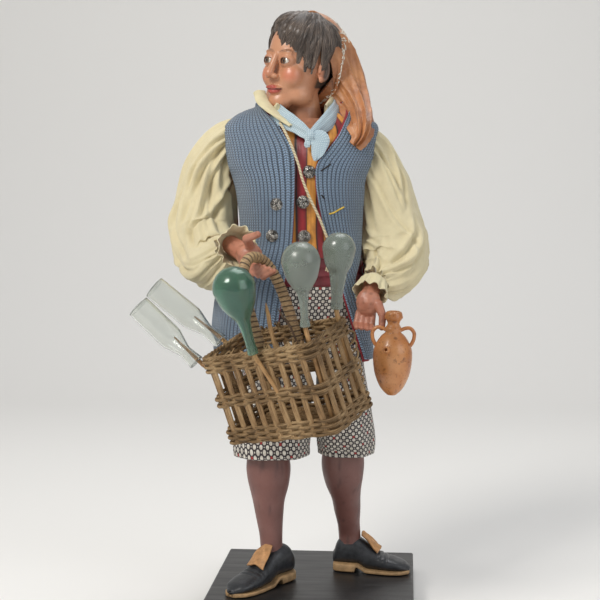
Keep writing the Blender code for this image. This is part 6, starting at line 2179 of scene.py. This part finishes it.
def dress_glass():
    for kind, outline in ((FLASKS, flask_outline), (BOTTLES, bottle_outline)):
        for name, mouth, way, length, (body, neck, lip), foot in kind:
            way = Vector(way).normalized()
            place = in_basket(*mouth)
            look, slot = GLASS_LOOKS[name]
            mesh = lathe(name, walled(outline(body, length, neck, lip), GLASS_WALL), place, way)
            piece(name + "_blown", mesh, LOOKS[look], [name])
            slack = neck - GLASS_WALL - STICK_RADIUS - GAP
            rise = (Vector((0, 0, 1)) - way * way.z).normalized() * slack
            keys = [in_basket(*foot), place.lerp(in_basket(*foot), 0.3), place + rise]
            keys.append(place + way * (length * STICK_REACH) + rise)
            stick = "stick_" + name.split("_", 1)[1]
            mesh = rod_mesh(stick, keys, [STICK_RADIUS] * 3 + [0.5], len(name) * 1.7)
            piece(stick + "_peeled", mesh, LOOKS["wood"], [stick])
    for name, places, radius, look in BARE_RODS:
        foot, rim, tip = [in_basket(*place) for place in places]
        keys = [foot, rim, rim.lerp(tip, 0.7), tip]
        mesh = rod_mesh(name, keys, [radius, radius, radius, radius * 0.3], 3.1)
        slot = "peeled_stick" if look == "wood" else "dark_twig"
        piece(name + "_rod", mesh, LOOKS[look], [name])


# Shares of the jug's radius and height along its outside, its inside and one handle
JUG_OUTSIDE = (
    (0.0, 0.0), (0.16, 0.002), (0.28, 0.01), (0.62, 0.10), (0.90, 0.26), (1.0, 0.44),
    (0.94, 0.57), (0.66, 0.69), (0.42, 0.745), (0.40, 0.77), (0.42, 0.80), (0.31, 0.84),
    (0.34, 0.88), (0.46, 0.92), (0.45, 0.95), (0.40, 0.985), (0.30, 0.998),
)
JUG_INSIDE = (
    (0.24, 0.995), (0.15, 0.97), (0.14, 0.76), (0.5, 0.66), (0.86, 0.44), (0.5, 0.14), (0.0, 0.05),
)
JUG_LOOP = (
    (0.80, 0.57), (0.95, 0.62), (1.05, 0.68), (1.05, 0.75), (0.86, 0.80), (0.62, 0.80), (0.36, 0.775),
)
# Radius in millimetres and share of the length of the pierced nub
JUG_NUB = (
    (2.3, 0.0), (2.2, 0.5), (1.95, 0.85), (1.75, 0.97), (1.5, 1.05),
    (1.15, 1.06), (0.9, 0.98), (0.75, 0.75), (0.5, 0.6), (0.01, 0.55),
)


def dress_jug():
    """The turned jug with two looped handles and a pierced nub."""
    r = JUG_RADIUS
    h = JUG_HEIGHT
    outer = [(a * r, b * h) for a, b in spline(JUG_OUTSIDE, 100)]
    turn = Euler([math.radians(angle) for angle in JUG_LEAN]).to_matrix()
    profile = [*outer, *[(a * r, b * h) for a, b in spline(JUG_INSIDE, 40)]]
    body = lathe("jug", profile, JUG_AT, turn @ Vector((0, 0, 1)), 84)
    meshes = [body]
    for side in (-1, 1):
        line = [placed((side * x * r, 0, share * h), JUG_AT, turn) for x, share in spline(JUG_LOOP, 60)]
        rows = rod_rows(line, 1.35, 18, turn @ Vector((0, 1, 0)), 0.85)
        meshes.append(cloth_mesh("loop", rows, True, True))
    root = placed((-3, -r * 0.7, h * 0.56), JUG_AT, turn)
    tip = placed((-4, -r * 1.05, h * 0.58), JUG_AT, turn)
    along = (tip - root).normalized()
    side = along.orthogonal().normalized()
    up = along.cross(side)
    nub = []
    angles = np.linspace(0, 2 * math.pi, 33)[:-1]
    for radius, share in spline(JUG_NUB, 40):
        hub = root + along * ((tip - root).length * share + 0.7 * share)
        nub.append([hub + spun(side, up, a, radius) for a in angles])
    meshes.append(cloth_mesh("nub", nub))
    piece("jug_glazed", joined("jug_glazed", meshes), LOOKS["clay"], ["jug"])


dress_glass()
dress_jug()


# Twine

TWINE_ROUTE = (
    (-20.0, -24.5, 307.5),
    (-16.5, -30.5, 302.0),
    (-12.0, -34.0, 293.0),
    (-7.5, -36.0, 281.5),
    (-4.5, -37.0, 271.0),
    (0.0, -37.5, 260.0),
    (5.5, -37.5, 248.5),
    (9.5, -37.0, 238.5),
    (12.5, -36.5, 230.5),
)


def dress_twine():
    rows = smooth_line(TWINE_ROUTE, 140)
    run = lengths(np.array([[tuple(p)] for p in rows]))[:, 0]

    def strands(i, t):
        return 0.06 * math.cos(3 * t + run[i] * 2.2) - 0.04

    mesh = cloth_mesh("twine_laid", rod_rows(rows, TWINE_RADIUS, 18, (1, 0, 0), 1.0, strands), True, True)
    cord = piece("twine_laid", mesh, LOOKS["twine"], ["twine"])
    end = Vector(TWINE_ROUTE[-1])
    way = (end - Vector(TWINE_ROUTE[-2])).normalized()
    knot = end + way * (2.4 + GAP)
    side = way.orthogonal().normalized()
    up = way.cross(side)
    loop = []
    for a in turns(150):
        ring = 1.55 + 0.42 * math.cos(3 * a)
        spot = spun(side, up * 0.85, 2 * a, ring) + way * (0.95 * math.sin(3 * a))
        loop.append(knot + spot)
    loop.append(loop[0])
    parts = [(loop, TWINE_RADIUS * 0.95)]
    parts.append(([end - way * 0.4, knot], TWINE_RADIUS * 0.95))
    for start, tip, bend in (
        (knot, knot + Vector((3.6, -1.2, -11.0)), Vector((0.6, -0.6, 1.0))),
        (knot, knot + Vector((-3.0, -1.6, -13.0)), Vector((-1.2, -0.4, 1.0))),
    ):
        for _ in range(7):
            drift = Vector((rng.uniform(-0.9, 0.9), rng.uniform(-0.5, 0.5), rng.uniform(-0.6, 1.2)))
            keys = [start, start.lerp(tip, 0.45) + bend]
            keys += [start.lerp(tip, 0.75) + bend * 0.4 + drift * 0.3, tip + drift]
            parts.append((smooth_line(keys, 24), rng.uniform(0.26, 0.38)))
    knotted = rods("twine_knotted", parts, 10)
    frayed = piece("twine_knotted", knotted, LOOKS["twine"], ["twine_knot"])


dress_twine()


# Thread marks on the front of the vest


def on_vest(u, v):
    """The point of the vest's front seen at a pixel."""
    start, way = sight(u, v)
    graph = bpy.context.evaluated_depsgraph_get()
    graph.update()
    shell = bpy.data.objects["vest_knit"]
    hit, place, normal, _ = shell.ray_cast(start * MM, way)
    return (place / MM, normal) if hit else (None, None)


def thread_line(name, pixels, radius, look):
    line = []
    for u, v in pixels:
        place, normal = on_vest(u, v)
        if place is None:
            return
        line.append(place + normal * (radius * 0.4))
    if len(line) > 2:
        line = smooth_line(line, 30)
    piece(name, rods(name, [(line, radius)], 8), LOOKS[look])


thread_line("stitch_yellow", [(329, 214), (334, 212.6), (339, 209.6), (344, 207)], 0.5, "gold_thread")
thread_line("stitch_dark_high", [(321, 171), (326, 167.6), (331, 164)], 0.45, "thread")
thread_line("stitch_dark_low", [(321.5, 195), (323, 197), (324.5, 199)], 0.5, "thread")


# Stage and light


def stage():
    paper = Look("pale_ground", (0.80, 0.79, 0.77), 0.9)
    floor = bpy.data.meshes.new("ground")
    span = 3.0
    rows = []
    for i in range(60):
        s = i / 59.0
        if s < 0.45:
            rows.append((-1.6 + s / 0.45 * 2.4, 0.0))
        elif s < 0.75:
            a = (s - 0.45) / 0.30 * math.pi / 2
            rows.append((0.8 + 0.5 * math.sin(a), 0.5 * (1 - math.cos(a))))
        else:
            rows.append((1.3, 0.5 + (s - 0.75) / 0.25 * 1.8))
    verts = [(x, y, z) for y, z in rows for x in (-span, span)]
    faces = [(2 * i, 2 * i + 1, 2 * i + 3, 2 * i + 2) for i in range(len(rows) - 1)]
    floor.from_pydata(verts, [], faces)
    floor.shade_smooth()
    floor.materials.append(paper.made)
    ground = linked("ground", floor)


def lamp(name, place, aim, power, size, colour=(1.0, 1.0, 1.0)):
    data = bpy.data.lights.new(name, "AREA")
    data.energy = power
    data.size = size
    data.color = colour
    made = linked(name, data)
    made.location = place
    made.rotation_euler = (Vector(aim) - Vector(place)).to_track_quat("-Z", "Y").to_euler()


stage()
lamp("key", (-0.75, -1.0, 1.15), (0, 0, 0.2), 17.0, 0.50, (1.0, 0.97, 0.92))
lamp("fill", (1.1, -0.8, 0.7), (0, 0, 0.2), 5.0, 0.9, (0.95, 0.97, 1.0))
lamp("top", (0.1, 0.3, 1.3), (0, 0, 0.2), 6.0, 0.7)
world = bpy.data.worlds.new("studio")
bpy.context.scene.world = world
world.use_nodes = True
world.node_tree.nodes["Background"].inputs["Color"].default_value = (0.95, 0.97, 1.0, 1.0)
world.node_tree.nodes["Background"].inputs["Strength"].default_value = 0.34
bpy.context.scene.view_settings.view_transform = "Standard"
